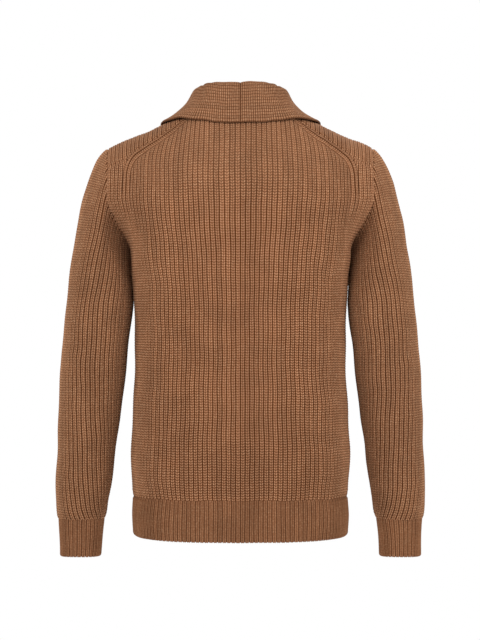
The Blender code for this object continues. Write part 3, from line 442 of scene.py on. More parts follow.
class Cloth:
    """Patches of one piece, as triangles with a stitch coordinate at each corner."""

    def __init__(self):
        self.corners, self.coordinates = [], []

    def patch(self, points, u, v, flip):
        index = np.arange(points.shape[0] * points.shape[1]).reshape(points.shape[:2])
        a, b = index[:-1, :-1].ravel(), index[:-1, 1:].ravel()
        c, d = index[1:, 1:].ravel(), index[1:, :-1].ravel()
        triangles = np.concatenate([np.stack([a, b, c], 1), np.stack([a, c, d], 1)])
        if flip:
            triangles = triangles[:, ::-1]
        self.corners.append((points + drift(points)).reshape(-1, 3)[triangles])
        self.coordinates.append(places(u, v).reshape(-1, 2)[triangles])

    def mesh(self, name, material):
        """The piece, with corners welded that lie on the same spot."""
        corners = np.concatenate(self.corners).reshape(-1, 3)
        keys = np.round(corners / WELD).astype(np.int64)
        _, first, inverse = np.unique(keys, axis=0, return_index=True, return_inverse=True)
        triangles = inverse.reshape(-1, 3)
        whole = (triangles != np.roll(triangles, 1, axis=1)).all(axis=1)
        pairs = np.concatenate(self.coordinates)[whole]
        used, renumbered = np.unique(triangles[whole].ravel(), return_inverse=True)
        points = corners[first][used] * MM
        mesh = bpy.data.meshes.new(name)
        mesh.from_pydata(points.tolist(), [], renumbered.reshape(-1, 3).tolist())
        layer = mesh.uv_layers.new(name="Stitch")
        layer.data.foreach_set("uv", pairs.astype(np.float32).ravel())
        mesh.validate(clean_customdata=False)
        return in_scene(name, mesh, material)


class Area:
    """Straight ribs of the body between two edges: a grid of places, and how far its edges are."""

    def __init__(self, side, first, last, high, low=HEM_TOP - SPLIT):
        self.side = side
        line = lane_places(first, last)
        low = low(line) if callable(low) else np.full(len(line), low)
        high = high(line) if callable(high) else np.full(len(line), high)
        rows = np.arange(math.floor(low.min() / ROW), math.ceil(high.max() / ROW) + 1)
        self.up = np.clip(rows[:, None] * ROW, low, high)
        self.across = line + 0 * self.up
        self.from_low, self.from_high = self.up - low, high - self.up
        self.from_first, self.from_last = self.across - line[0], line[-1] - self.across

    def from_armhole(self):
        """Distance to the armhole's seam: more below it, and more over the shoulder."""
        away = self.from_last + np.clip(-self.up, 0, None) / 2
        return away + SHALLOW_SEAM * smooth(self.up / SHALLOW_IN + 1.0)

    def past_strip(self):
        """What is added to the distance from the strip's edges, where they fade out."""
        return np.clip(STRIP_FADES_AT - self.up, 0, None) / 3

    def calm(self, start):
        """Share of the ribs' height, which is small beside the shoulder's seam."""
        return 1 - (1 - OVER_SHOULDER) * smooth(start - self.from_high / SHOULDER_REACH)

    def dress(self, cloth, free, at_hem=True, **looks):
        """Adds the area; the hem's seam counts besides the free distance from its other edges."""
        u, v = self.across / PITCH, self.up / COURSE
        if at_hem:
            free = np.minimum(free, AT_HEM + self.from_low)
            looks["from_hem"] = self.from_low
        dress(cloth, (self.across, self.up, self.side), u, v, free, **looks)


def rounded_end(u, away):
    """A rib's rounded end beside a seam."""
    f = u - np.floor(u)
    r2 = (np.abs(2 * f - 1) / 0.9) ** 2 + np.clip(1 - away / END_LENGTH, 0, 1) ** 2
    return SEAM_DEPTH + END_HEIGHT * np.sqrt(np.clip(1 - r2, 0, 1))


def dress(cloth, grid, u, v, free, hands=(1, -1), from_hem=None, calm=1.0, fanned=False):
    """Adds a grid (across, up, side) of the body with its stitches, free away from its seams."""
    base, normal = body(*grid), body_normal(*grid)
    side = grid[2]
    height = stitches(u, v, "body") * calm
    if from_hem is not None:
        ending = np.minimum(height, rounded_end(u, from_hem))
        height = np.where(from_hem < END_REACH, ending, height)
    height = sunk(height, free)
    for hand in hands:
        at, out = on_hand(hand, base, normal)
        points = at + out * (height + folds(at, BACK_FOLDS) + unevenness(at))[..., None]
        cloth.patch(fan(points) if fanned else points, u * hand, v, side * hand > 0)


def least(*values):
    """The smallest at each place."""
    return reduce(np.minimum, values)


def back_piece():
    cloth = Cloth()
    side = SIDE_BACK
    strip_end = STRIP_RIB + STRIP_WIDTH_RIBS

    def strip_inner(across):
        ups = np.interp(across, *INNER[::-1].T)
        at_neck = across <= BACK_NECK_RIB * PITCH
        ups[at_neck] = back_neck(across[at_neck])
        return ups

    def strip_outer(across):
        return np.interp(across, *OUTER[::-1].T)

    def seam(across):
        return seam_up(across, side)

    area = Area(side, 0, STRIP_RIB, strip_inner)
    free = np.minimum(area.from_high * BACK_TOP_SLANT, area.from_last + area.past_strip())
    area.dress(cloth, free, fanned=True)

    area = Area(side, STRIP_RIB, strip_end, 0.0)
    area.dress(cloth, np.minimum(area.from_first, area.from_last) + area.past_strip())

    area = Area(side, strip_end, ARMHOLE_RIB, seam)
    shoulder = area.from_high * SHOULDER_SLANT
    free = least(area.from_first + area.past_strip(), shoulder, area.from_armhole())
    area.dress(cloth, free, calm=area.calm(BACK_CALM))

    corner = np.argmin(np.abs(seam(OUTER[:, 0]) - OUTER[:, 1]) > ON_SEAM)
    start = math.ceil(OUTER[corner, 0] / PITCH * PER_RIB) / PER_RIB
    area = Area(side, start, strip_end, seam, strip_outer)
    free = np.minimum(area.from_low, area.from_high) * SHOULDER_SLANT
    area.dress(cloth, free, at_hem=False, calm=OVER_SHOULDER)

    under_armhole(side, cloth)

    # The fashioned strip, whose ribs run along it
    gone = gone_along((INNER + OUTER) / 2)
    along = np.arange(0, gone[-1] + ROW, ROW).clip(0, gone[-1])[:, None]
    share = np.linspace(0, 1, STRIP_WIDTH_RIBS * PER_RIB + 1)[None, :]
    inner, outer = (sample(along, gone, line) for line in (INNER, OUTER))
    grid = inner * (1 - share[..., None]) + outer * share[..., None]
    u = STRIP_RIB + share * STRIP_WIDTH_RIBS + 0 * along
    u = u - STRIP_GROOVE * np.sin(2 * math.pi * u)
    v = along / COURSE + 0 * share
    free = least(np.minimum(share, 1 - share) * STRIP_WIDTH, gone[-1] - along)
    dress(cloth, (grid[..., 0], grid[..., 1], side), u, v, free)
    return cloth


def under_armhole(side, cloth, **looks):
    """The ribs that end at the armhole's lower curve, up to the side seam."""
    area = Area(side, ARMHOLE_RIB, RIBS[side], lambda across: armhole_up(across, side))
    free = least(area.from_high * ARMHOLE_SLANT, AT_SIDE_SEAM + area.from_last)
    area.dress(cloth, free, **looks)


def front_piece(hand):
    cloth = Cloth()
    side = SIDE_FRONT
    edge = neck_edge(np.linspace(0, 1, 200))

    area = Area(side, BAND_RIB, NECK_RIB, lambda across: np.interp(across, *edge.T))
    free = least(area.from_high * NECK_SLANT, AT_BAND + area.from_first)
    area.dress(cloth, free, hands=(hand,))

    area = Area(side, NECK_RIB, ARMHOLE_RIB, lambda across: seam_up(across, side))
    free = least(area.from_high * SHOULDER_SLANT, area.from_armhole())
    area.dress(cloth, free, hands=(hand,), calm=area.calm(FRONT_CALM))

    under_armhole(side, cloth, hands=(hand,))
    return cloth


# ---- hem and cuffs
HEM_RIBS = 33  # in each quarter
EDGE_RADIUS = 1.6
TURNED_IN = 22.0  # how far the hem's and the cuffs' inside shows
INSIDE_ROW = 3.0  # between its rows of points
SEAM_TUCK = 3.0  # how far their upper edge goes under the panels and sleeves
HEM_SEAM, CUFF_SEAM = 0.6, 3.3  # where their ribs rise out of the seam above
INSIDE_ROWS = np.arange(1, round(TURNED_IN / INSIDE_ROW)) * INSIDE_ROW


def ribbing(outside, inside, down, u, at_seam, at_side, fold_share, hands):
    """Fine ribs down to an edge, round it and up the inside; both sides are (points, normals).

    Each hand is given with the factor for u and whether its faces are turned round.
    """
    cloth = Cloth()
    (outer, outward), (inner, inward) = outside, inside
    middle = outer[-1] - outward[-1] * EDGE_RADIUS
    edge, turned = round_edge(middle, outward[-1], down, EDGE_RADIUS, 180)
    points = np.concatenate([outer, edge, inner + inward * 2 * EDGE_RADIUS])
    normals = np.concatenate([outward, turned, inward])
    gone = gone_along(points)[:, None] + 0 * u[None, :]
    u, v = u[None, :] + 0 * gone, gone / COURSE
    height = sunk(stitches(u, v, "fine"), np.minimum(at_seam + gone - SEAM_TUCK, at_side))
    is_inside = np.arange(len(points))[:, None] >= len(outer) + 3
    for hand, mirrored, flip in hands:
        at, out = on_hand(hand, points, normals)
        soft = folds(at, BACK_FOLDS) * fold_share + unevenness(at)
        placed = at + out * (height + np.where(is_inside, -soft, soft))[..., None]
        cloth.patch(placed, u * mirrored, v, flip)
    return cloth


def hem_piece(side, hands=(1, -1)):
    first = 0.0 if side == SIDE_BACK else BAND_RIB * PITCH
    last = quarter(side)
    share = np.linspace(0, 1, HEM_RIBS * PER_RIB + 1)
    across = first + (last - first) * share
    bottom = HEM_BOTTOM - SPLIT + HEM_SIDE_RISE * (across / last) ** 4
    top = HEM_TOP - SPLIT + SEAM_TUCK
    t = np.linspace(0, 1, round((top - bottom.mean()) / ROW) + 1)[:, None]
    ups = top * (1 - t) + (bottom + EDGE_RADIUS) * t
    base = body(across, ups, side)
    inner_ups = bottom + EDGE_RADIUS + INSIDE_ROWS[:, None]
    return ribbing(
        outside=(base, body_normal(across, ups, side)),
        inside=(body(across, inner_ups, side), -body_normal(across, inner_ups, side)),
        down=unit(base[-1] - base[-2]),
        u=share * HEM_RIBS,
        at_seam=HEM_SEAM,
        at_side=AT_SIDE_SEAM + (last - across)[None, :],
        fold_share=0.6,
        hands=[(hand, hand, side * hand < 0) for hand in hands],
    )


# ---- sleeves
SLEEVE_POWER = 2.2  # power of a sleeve's section
HEAD_LEAVES = (30.0, 140.0)  # how far the head keeps its direction: under the arm, on top
HEAD_ARRIVES = (60.0, 100.0)
AROUND = np.linspace(0, 1, 321)  # places round a sleeve, from the underarm by the back
HEAD_ROWS, ARM_ROWS = 161, 180  # rows of the surface that the stitches are laid on
SLEEVE_LANES = 29  # ribs on each side of a sleeve's outer line
CUFF_TOP = -641.0
CUFF_BOTTOM = -700.0
CUFF_RIBS = 34
RIGHT_FOLDS_LOWER = 14.0  # so that the two sleeves aren't alike
SEAM_ROWS = 4.0  # rows in which the armhole's normals become the sleeve's own
LEVEL_AT, LEVEL_IN = -300.0, 150.0  # height where stitch rows lie level, and in what they turn
FLAT_AT, FLAT_IN = -70.0, 50.0  # the same for the flat ribs on the shoulder
HEAD_SLANT, HEAD_DOWN = 0.8, 0.9  # how distances from the armhole's seam count
PUCKER, PUCKER_REACH, PUCKER_STARTS = 0.9, 26.0, 6.0  # small tucks above the cuff
SOFT_REACH = 12.0  # distance from a seam in which folds start

SLEEVE = (  # height, middle across, middle in depth, half width, half depth
    (-304, 221.2, 2, 51.5, 64), (-364, 228, 0, 50.5, 62), (-439, 234.8, -5, 49.5, 58),
    (-498, 240.3, -10, 46.3, 53), (-567, 246.4, -15, 43.5, 47), (-605, 249.7, -18, 41.3, 43.2),
    (-625, 250.7, -18.7, 38.8, 40.6), (-641, 251.5, -19.3, 35.4, 36.4),
)

CUFF = (  # height, middle across, middle in depth, half width, half depth
    (-641, 251.5, -19.3, 35.5, 36.4), (-656, 252, -19.8, 34.2, 35),
    (-700, 253.6, -21, 32.2, 33.2),
)

SLEEVE_SHARE, SLEEVE_FIRST, SLEEVE_SECOND, _ = quarter_curve(1.2, 1.0, SLEEVE_POWER)


def sleeve_ring(table, height, around):
    middle_x, middle_y, wide, deep = (follow(table, k, height) for k in (1, 2, 3, 4))
    turn = np.asarray(around) % 1.0 * 4
    quadrant = np.floor(turn)
    within = np.where(quadrant % 2 == 0, turn - quadrant, 1 - (turn - quadrant))
    to_out = np.where((quadrant == 0) | (quadrant == 3), -1.0, 1.0)
    to_back = np.where(quadrant < 2, 1.0, -1.0)
    x = middle_x + wide * np.interp(within, SLEEVE_SHARE, SLEEVE_SECOND) * to_out
    y = middle_y + deep * np.interp(within, SLEEVE_SHARE, SLEEVE_FIRST) * to_back
    return np.stack([x, y, np.broadcast_to(height, x.shape)], axis=-1)


def armhole():
    """Points, normals and outward directions along the armhole, from the underarm by the back."""
    lines = []
    edge = ARMHOLE_RIB * PITCH
    for side in (SIDE_BACK, SIDE_FRONT):
        across = edge + (quarter(side) - edge) * np.linspace(1, 0, 40) ** 2
        curve = places(across, armhole_up(across, side))
        upright = places(edge, np.linspace(0, seam_up(edge, side)[0], 60)[1:])
        line = np.concatenate([curve, upright]).T
        line = np.concatenate([body(*line, side), body_normal(*line, side)], axis=1)
        lines.append(line if side == SIDE_BACK else line[-2::-1])
    points, normals = np.split(np.concatenate(lines), 2, axis=1)
    points[[0, -1]] = (points[0] + points[-1]) / 2
    gone = gone_along(points)
    places_on = gone / gone[-1] * (len(AROUND) - 1)
    outward = np.cross(normals, np.gradient(points, places_on, axis=0))
    outward[[0, -1]] = (0.0, 0.0, 1.0)
    normals[[0, -1]] = (1.0, 0.0, 0.0)
    found = [
        sample(np.arange(len(AROUND)), places_on, values) for values in (points, normals, outward)
    ]
    return found[0], unit(found[1]), unit(found[2])


def sleeve_head(shares):
    """The sleeve from the armhole to the first of its own sections."""
    points, normals, outward = armhole()
    end = sleeve_ring(SLEEVE, SLEEVE[0][0], AROUND)
    ending = unit(np.subtract(SLEEVE[1], SLEEVE[0])[[1, 2, 0]])
    topness = np.sin(math.pi * AROUND)[:, None] ** 2
    turn = np.sin(2 * math.pi * AROUND)[:, None]
    sideness = turn**2
    lean = np.concatenate([
        0.8 * (1 - topness) * (1 - sideness),  # outward under the arm
        0.45 * sideness * np.sign(turn),  # to the back and the front between
        0.12 * topness * (1 - sideness) - sideness,
    ], axis=1)
    start = unit(outward + lean)
    leave, arrive = (low + (high - low) * topness for low, high in (HEAD_LEAVES, HEAD_ARRIVES))
    rows = [hermite(t, points, leave * start, end, arrive * ending) for t in shares]
    return np.array(rows), normals


def tube_normals(points):
    """Outward normals of rows that go round and down; the first and last columns are the same."""
    round_it = np.empty_like(points)
    round_it[:, 1:-1] = points[:, 2:] - points[:, :-2]
    round_it[:, 0] = round_it[:, -1] = points[:, 1] - points[:, -2]
    return unit(np.cross(round_it, np.gradient(points, axis=0)))


def cut_rows(points, normals, planes, lane_at):
    """Rows where planes cut a surface, each sampled at distances from its outer line.

    Gives points, normals, and how much of the row is left after each sample.
    """
    both = np.concatenate([points, normals], axis=2)
    middle = points.shape[1] // 2
    halves = []
    for columns in (np.arange(middle, -1, -1), np.arange(middle, points.shape[1])):
        surface = both[:, columns]
        every = np.arange(len(columns))
        lines = []
        for spot, direction in planes:
            off = (surface[..., :3] - spot) @ direction
            row = np.argmax(off >= 0, axis=0)
            good = (off[0] < 0) & (row > 0)
            count = len(columns) if good.all() else max(int(np.argmin(good)), 2)
            row = np.clip(row, 1, len(points) - 1)
            upper, lower = off[row - 1, every], off[row, every]
            part = np.clip(-upper / np.where(lower == upper, 1.0, lower - upper), 0, 1)[:, None]
            line = surface[row - 1, every] * (1 - part) + surface[row, every] * part
            if count < len(columns):
                # The row ends between two places of the armhole
                a, b = off[0, count - 1], off[0, count]
                share = np.clip(a / (a - b) if a != b else 0.5, 0, 1)
                last = surface[0, count].copy()
                last[:3] = surface[0, count - 1, :3] * (1 - share) + last[:3] * share
                line = np.concatenate([line[:count], [last]])
            lines.append(line)
        halves.append(lane_rows(lines, lane_at))
    back, front = halves
    rows = np.concatenate([front[:, ::-1], back[:, 1:]], axis=1)
    return rows[..., :3], unit(rows[..., 3:6]), rows[..., 6]


def sleeve_piece(hand):
    head, head_normals = sleeve_head(np.linspace(0, 1, HEAD_ROWS))
    heights = np.linspace(SLEEVE[0][0], CUFF_TOP, ARM_ROWS)[1:]
    points = np.concatenate([head, [sleeve_ring(SLEEVE, height, AROUND) for height in heights]])
    near_seam = np.exp(-np.arange(len(points)) / SEAM_ROWS)[:, None, None]
    normals = unit(tube_normals(points) * (1 - near_seam) + head_normals[None] * near_seam)

    # Rows of stitches stand across the outer line at the shoulder, and level below it
    outer = points[:, len(AROUND) // 2]
    gone = gone_along(outer)
    w = np.append(np.arange(ROW / 3, gone[-1], ROW), gone[-1] - 0.02)
    spots = sample(w, gone, outer)
    ahead = sample(w, gone, unit(np.gradient(outer, gone, axis=0)))
    tilt = smooth((spots[:, 2:] - LEVEL_AT) / LEVEL_IN)
    ahead = ahead * tilt + np.array([0.0, 0.0, -1.0]) * (1 - tilt)
    ahead[:, 1] = 0
    planes = list(zip(spots, unit(ahead)))
    lane_at = lane_places(0, SLEEVE_LANES)
    base, out, left = cut_rows(points, normals, planes, lane_at)

    w = w[:, None]
    u = np.concatenate([-lane_at[::-1], lane_at[1:]])[None, :] / PITCH + 0 * w
    v = w / COURSE + 0 * u
    over = smooth((base[..., 2] - FLAT_AT) / FLAT_IN)
    free = np.minimum(left * HEAD_SLANT, w * HEAD_DOWN) + SHALLOW_SEAM * over
    above_cuff = gone[-1] - w
    free = np.minimum(free, above_cuff + CUFF_SEAM)
    height = sunk(stitches(u, v, "body") * (1 - (1 - OVER_SHOULDER) * over), free)
    pucker = np.exp(-((above_cuff / PUCKER_REACH) ** 2)) * smooth(above_cuff / PUCKER_STARTS)
    pucker = PUCKER * pucker * np.sin(u * 1.1 + 0.7 * np.sin(u * 0.37))
    height = height + pucker * smooth(free / SEAM_REACH)
    at, facing = on_hand(hand, base, out)
    shift = np.array([0.0, 0.0, 0.0 if hand > 0 else RIGHT_FOLDS_LOWER])
    soft = folds(base + shift, SLEEVE_FOLDS) + unevenness(at)
    cloth = Cloth()
    placed = at + facing * (height + soft * smooth(free / SOFT_REACH + 0.1))[..., None]
    cloth.patch(placed, u, v, hand < 0)
    return cloth


def cuff_piece(hand):
    around = np.linspace(0, 1, CUFF_RIBS * PER_RIB + 1)
    bottom = CUFF_BOTTOM + EDGE_RADIUS
    heights = np.append(np.arange(CUFF_TOP + SEAM_TUCK, bottom, -ROW), bottom)
    outer = np.array([sleeve_ring(CUFF, height, around) for height in heights])
    inner = np.array([sleeve_ring(CUFF, height, around) for height in bottom + INSIDE_ROWS])
    normals = tube_normals(outer)
    return ribbing(
        outside=(outer, normals),
        inside=(inner, -np.repeat(normals[-1:], len(inner), axis=0)),
        down=np.array([0.0, 0.0, -1.0]),
        u=around * CUFF_RIBS,
        at_seam=CUFF_SEAM,
        at_side=math.inf,
        fold_share=0.0,
        hands=[(hand, 1, hand < 0)],
    )


# ---- bands and collar
COLLAR_HALF = 1.5  # half the collar's own thickness
ROLL = 5.0  # radius of its roll
SEAM_STEP = 6.3  # distance from its seam at which a band has come to its level
BAND_MARGIN = 8.0  # from a band's edge to the line that goes on as the collar's roll
TUCKED = 1.2  # how far the collar's seam edge goes under the panels
SUNK = 1.8  # and how deep it lies there
COLLAR_PITCH = 4.8
COLLAR_COURSE = 3.25
COLLAR_LANES = 39
COLLAR_PER_RIB = 2
FINE = 12  # points between two of a section's own
ROLL_COLUMN = 3 * FINE
INSIDE_RELIEF = 0.25  # how far the inside's ribs may stand out
END_BULGE = 1.3  # how far the lower ends are rounded
BREAK_AT, BREAK_IN = 0.06, 0.2  # place where the flat band starts to roll, and in what
BESIDE = 0.35  # share of the way from seam to roll where a section has a point
SOFTENED = 6  # neighbours that a direction is averaged with
JOIN_DEPTH = -1.1  # of the groove at the middle seam and along the sewn edge
JOIN_REACH, SEWN_REACH, EDGE_REACH = 2.6, 3.0, 2.0  # where ribs rise from these, and at the edge

LEFT_COLLAR = (  # place, roll x, y, z; leaf's edge: across, up, side, lift; bow
    (0.0, -10, -127.6, -262, -18.35, -127, -1, 2.8, 0),
    (0.06, -10, -131, -237, -9, -115, -1, 13, 0),
    (0.12, -2.5, -131.5, -214, 22, -109, -1, 12, 1),
    (0.2, 7.5, -130.5, -183, 58, -94, -1, 6.5, 2),
    (0.34, 18, -130, -132, 92, -45, -1, 4.6, 3),
    (0.5, 29, -121, -67, 109, 32, -1, 4.4, 4),
    (0.6, 37, -104, -29, 114, 63, -1, 4.2, 4),
    (0.7, 46.5, -75, 3, 119, 92, -1, 4, 4),
    (0.8, 57, -33, 21.5, 124, 135, -1, 4, -1.5),
    (0.86, 61.5, -8.5, 28, 126.5, 163, -1, 4, -4),
    (0.92, 63.3, 16.5, 28.9, 122, 193, -1, 4, -5.5),
    (0.96, 64, 31, 29.7, 113, 218, -1, 4, -5.5),
    (1.0, 63, 43.5, 30.6, 99, 141.4, 1, 4, -5),
    (1.1, 59.3, 51.5, 32.6, 86, 132.8, 1, 4, -4),
    (1.2, 54.8, 56, 34.4, 75, 123.5, 1, 3.9, -3),
    (1.4, 48, 62.5, 36.8, 55, 115, 1, 3.8, -1.5),
    (1.6, 33.5, 69.3, 37.2, 36, 109.2, 1, 3.8, 0),
    (1.8, 18, 73, 37.3, 18, 106.2, 1, 3.8, 0),
    (2.0, 0, 74, 37.4, 0, 105.2, 1, 3.8, 0),
)
RIGHT_START = (
    (0.0, -3.1, -123.6, -262, -8, -127, -1, -1.2, 0),
    (0.06, 0.5, -123.6, -238, -6, -104, -1, -1.2, 0),
    (0.12, 4, -123.7, -214.5, -2, -80, -1, -1.2, 0),
    (0.18, 7, -127, -190, 18, -80, -1, 9, 0),
    (0.24, 11, -129.8, -168, 54, -84, -1, 8, 2),
)
RIGHT_COLLAR = RIGHT_START + LEFT_COLLAR[4:]
LEFT_LEVEL, RIGHT_LEVEL = 2.8, -1.2  # how far the bands lie over or under the fronts
ACROSS, LIFT, BOW = 4, 7, 8  # columns of the tables


def soften(values, reach):
    """Values along a line, averaged with their neighbours."""
    kernel = np.exp(-np.linspace(-2, 2, 2 * reach + 1) ** 2)
    kernel /= kernel.sum()
    padded = np.pad(values, ((reach, reach), (0, 0)), mode="edge")
    return np.stack([np.convolve(column, kernel, "valid") for column in padded.T], 1)


def collar_seam(stations):
    """Where a band and its collar half are sewn on, with the body's normals."""
    low_up = BREAK - SPLIT
    front_top = seam_up(NECK_RIB * PITCH, SIDE_FRONT)[0]
    bottom_reach = (HEM_BOTTOM - SPLIT - low_up) / (front_top - low_up)
    reach = np.where(stations < 0, stations * -bottom_reach, np.minimum(stations, 1))
    line = neck_edge(np.clip(reach, 0, 1))
    line[:, 1] = low_up + reach * (front_top - low_up)
    across = np.linspace(BACK_NECK_RIB * PITCH, 0, 60)
    back = np.concatenate([[(INNER[-1] + OUTER[-1]) / 2], places(across, back_neck(across))])
    corner = body(NECK_RIB * PITCH, front_top, SIDE_FRONT)
    gone = gone_along(np.concatenate([[corner], body(*back.T, SIDE_BACK)]))
    behind = stations > 1
    found = []
    for get in (body, body_normal):
        values = get(*line.T, SIDE_FRONT)
        far = np.concatenate([values[~behind][-1:], get(*back.T, SIDE_BACK)])
        values[behind] = sample(stations[behind], 1 + gone / gone[-1], far)
        found.append(values)
    return found[0], unit(found[1]), line[:, 1]


def through(section):
    """A smooth line through a section's points, for all stations at once."""
    before, after = 2 * section[:, :1] - section[:, 1:2], 2 * section[:, -1:] - section[:, -2:-1]
    padded = np.concatenate([before, section, after], axis=1)
    chords = np.linalg.norm(np.diff(padded, axis=1), axis=2, keepdims=True) ** 0.5
    chords = np.maximum(chords, 1e-3)
    line = []
    for k in range(1, padded.shape[1] - 2):
        a, b, c, d = (padded[:, k + j] for j in (-1, 0, 1, 2))
        ab, bc, cd = chords[:, k - 1], chords[:, k], chords[:, k + 1]
        leaving = ((b - a) / ab - (c - a) / (ab + bc) + (c - b) / bc) * bc
        arriving = ((c - b) / bc - (d - b) / (bc + cd) + (d - c) / cd) * bc
        for t in np.linspace(0, 1, FINE + 1)[:-1]:
            line.append(hermite(t, b, leaving, c, arriving))
    line.append(padded[:, -2])
    return np.stack(line, axis=1)


def collar_surface(table, level, stations):
    """The middle surface of a band and its collar half, from its seam to its edge."""
    seam, upward, ups = collar_seam(stations)
    ahead = np.gradient(seam, axis=0)
    ahead[-1] = (-1.0, 0.0, 0.0)
    ahead = soften(unit(ahead), SOFTENED)
    upward = unit(soften(upward, SOFTENED))
    inward = unit(np.cross(upward, ahead))
    rows = []
    for row in table:
        place = row[ACROSS:LIFT]
        edge = body(*place) + body_normal(*place) * row[LIFT]
        rows.append((*row[:ACROSS], *edge, row[BOW]))
    roll, edge, bow = (
        np.stack([follow(rows, k, stations) for k in columns], axis=-1)
        for columns in ((1, 2, 3), (4, 5, 6), (7,))
    )
    band = stations <= 0
    edge_across = table[0][ACROSS]
    for line, across in ((edge, edge_across), (roll, edge_across + BAND_MARGIN)):
        place = across, ups[band], SIDE_FRONT
        line[band] = body(*place) + body_normal(*place) * table[0][LIFT]
    start = seam - inward * TUCKED - upward * SUNK
    down = unit(start - roll)
    reach = np.linalg.norm(edge - roll, axis=1, keepdims=True)
    out = (edge - roll) / reach
    apart = unit(out - down)
    radius = np.minimum(ROLL, reach * 0.6)
    fold = (down + out) / 2
    behind_roll = roll + radius * (fold - apart)
    before_leaf = roll + radius * (fold + apart)
    flat = 1 - smooth((stations - BREAK_AT) / BREAK_IN)[:, None]
    beside = (1 - flat) * (start + (behind_roll - start) * BESIDE)
    beside += flat * (seam + inward * SEAM_STEP + upward * level)
    bulge = unit(np.cross(out, ahead))
    leaf = [
        before_leaf * (1 - t) + edge * t + bulge * bow * 4 * t * (1 - t) for t in (1 / 3, 2 / 3)
    ]
    middle = np.stack([start, beside, behind_roll, roll, before_leaf, *leaf, edge], axis=1)
    middle[-1, :, 0] = 0.0
    return through(middle)


def collar_piece(table, level, hand):
    coarse = np.linspace(-1, 2, 601)
    gone = gone_along(collar_surface(table, level, coarse)[:, [ROLL_COLUMN, -1]])
    count = round(gone[-1] / (COLLAR_COURSE / 2))
    stations = np.interp(np.linspace(0, gone[-1], count + 1), gone, coarse)
    surface = collar_surface(table, level, stations)
    along = np.gradient(surface, axis=0)
    along[-1] = (-1.0, 0.0, 0.0)
    normals = unit(np.cross(np.gradient(surface, axis=1), along))
    normals[-1, :, 0] = 0
    normals = unit(normals)

    # Lanes at a steady distance from the free edge
    lane_at = lane_places(0, COLLAR_LANES, COLLAR_PER_RIB, COLLAR_PITCH)
    rows = lane_rows(np.concatenate([surface, normals], axis=2)[:, ::-1], lane_at)
    base, out, left = rows[..., :3], unit(rows[..., 3:6]), rows[..., 6]
    row = np.arange(len(base))[:, None]
    u = lane_at[None, :] / COLLAR_PITCH + 0 * row
    from_middle = row[::-1] * COLLAR_COURSE / 2
    shown = smooth(from_middle / JOIN_REACH) * smooth(left / SEWN_REACH)
    relief = stitches(u, row / 2 + 0 * u, "collar") * shown + JOIN_DEPTH * (1 - shown)
    relief = relief * smooth(lane_at / EDGE_REACH)[None, :]
    outside = base + out * (COLLAR_HALF + relief)[..., None]
    inside = base - out * (COLLAR_HALF + np.minimum(relief, INSIDE_RELIEF))[..., None]

    # Round the free edge
    sideways = unit(base[:, 0] - base[:, 1])
    edge, _ = round_edge(base[:, 0], out[:, 0], sideways, COLLAR_HALF, 150)
    points = np.concatenate([outside[:, ::-1], edge.swapaxes(0, 1), inside], axis=1)
    on_edge = np.sin(math.pi * np.arange(1, len(edge) + 1) / (len(edge) + 1))
    u = np.concatenate([u[:, ::-1], -0.05 * on_edge + 0 * row, u], axis=1)
    v = row / 2 + 0 * u

    # The rounded end at the hem
    middles = np.concatenate([base[0, ::-1], base[0, [0] * len(edge)], base[0]])
    down = unit(base[0, 0] - base[1, 0]) * END_BULGE
    ends = [
        middles + (points[0] - middles) * share + down * (1 - share**2) ** 0.5
        for share in (0.0, 0.7)
    ]
    (points,) = on_hand(hand, np.concatenate([ends, points]))
    u = np.concatenate([u[:1], u[:1], u])
    v = np.concatenate([v[:1] - 0.8, v[:1] - 0.5, v])
    cloth = Cloth()
    cloth.patch(points, u, v, hand > 0)
    sewn = [0, -1]
    cloth.patch(points[:, sewn], u[:, sewn], v[:, sewn], hand < 0)
    return cloth


# ---- materials
class Graph:
    """Short ways to add nodes to a material."""

    def __init__(self, name):
        self.material = bpy.data.materials.new(name)
        self.material.use_nodes = True
        self.tree = self.material.node_tree
        self.shader = self.tree.nodes["Principled BSDF"]

    def put(self, socket, value):
        if isinstance(value, (int, float, tuple)):
            socket.default_value = value
        else:
            self.tree.links.new(value, socket)

    def node(self, kind, inputs=(), **settings):
        node = self.tree.nodes.new(kind)
        for key, value in settings.items():
            setattr(node, key, value)
        for key, value in dict(inputs).items():
            self.put(node.inputs[key], value)
        return node

    def surface(self, colour, roughness, **more):
        """Sets the shader's inputs, named with _ for spaces."""
        inputs = {"Base_Color": colour, "Roughness": roughness, **more}
        for key, value in inputs.items():
            self.put(self.shader.inputs[key.replace("_", " ")], value)

    def bump(self, height, strength, distance):
        inputs = {"Height": height, "Strength": strength, "Distance": distance}
        self.put(self.shader.inputs["Normal"], self.node("ShaderNodeBump", inputs).outputs[0])

    def where(self):
        return self.node("ShaderNodeTexCoord").outputs["Object"]

    def parts(self, vector):
        return tuple(self.node("ShaderNodeSeparateXYZ", {0: vector}).outputs)

    def math(self, operation, *values):
        return self.node("ShaderNodeMath", dict(enumerate(values)), operation=operation).outputs[0]

    def minus(self, first, second):
        return self.math("SUBTRACT", first, second)

    def times(self, first, *others):
        for other in others:
            first = self.math("MULTIPLY", first, other)
        return first

    def between(self, value, low, high, to_low=0.0, to_high=1.0):
        inputs = dict(enumerate((value, low, high, to_low, to_high)))
        return self.node("ShaderNodeMapRange", inputs, interpolation_type="SMOOTHSTEP").outputs[0]

    def mix(self, share, first, second, blend="MIX"):
        inputs = {0: share, 6: first, 7: second}
        return self.node("ShaderNodeMix", inputs, data_type="RGBA", blend_type=blend).outputs[2]

    def noise(self, where, scale, detail, roughness=0.5):
        inputs = {"Vector": where, "Scale": scale, "Detail": detail, "Roughness": roughness}
        return self.node("ShaderNodeTexNoise", inputs).outputs["Fac"]


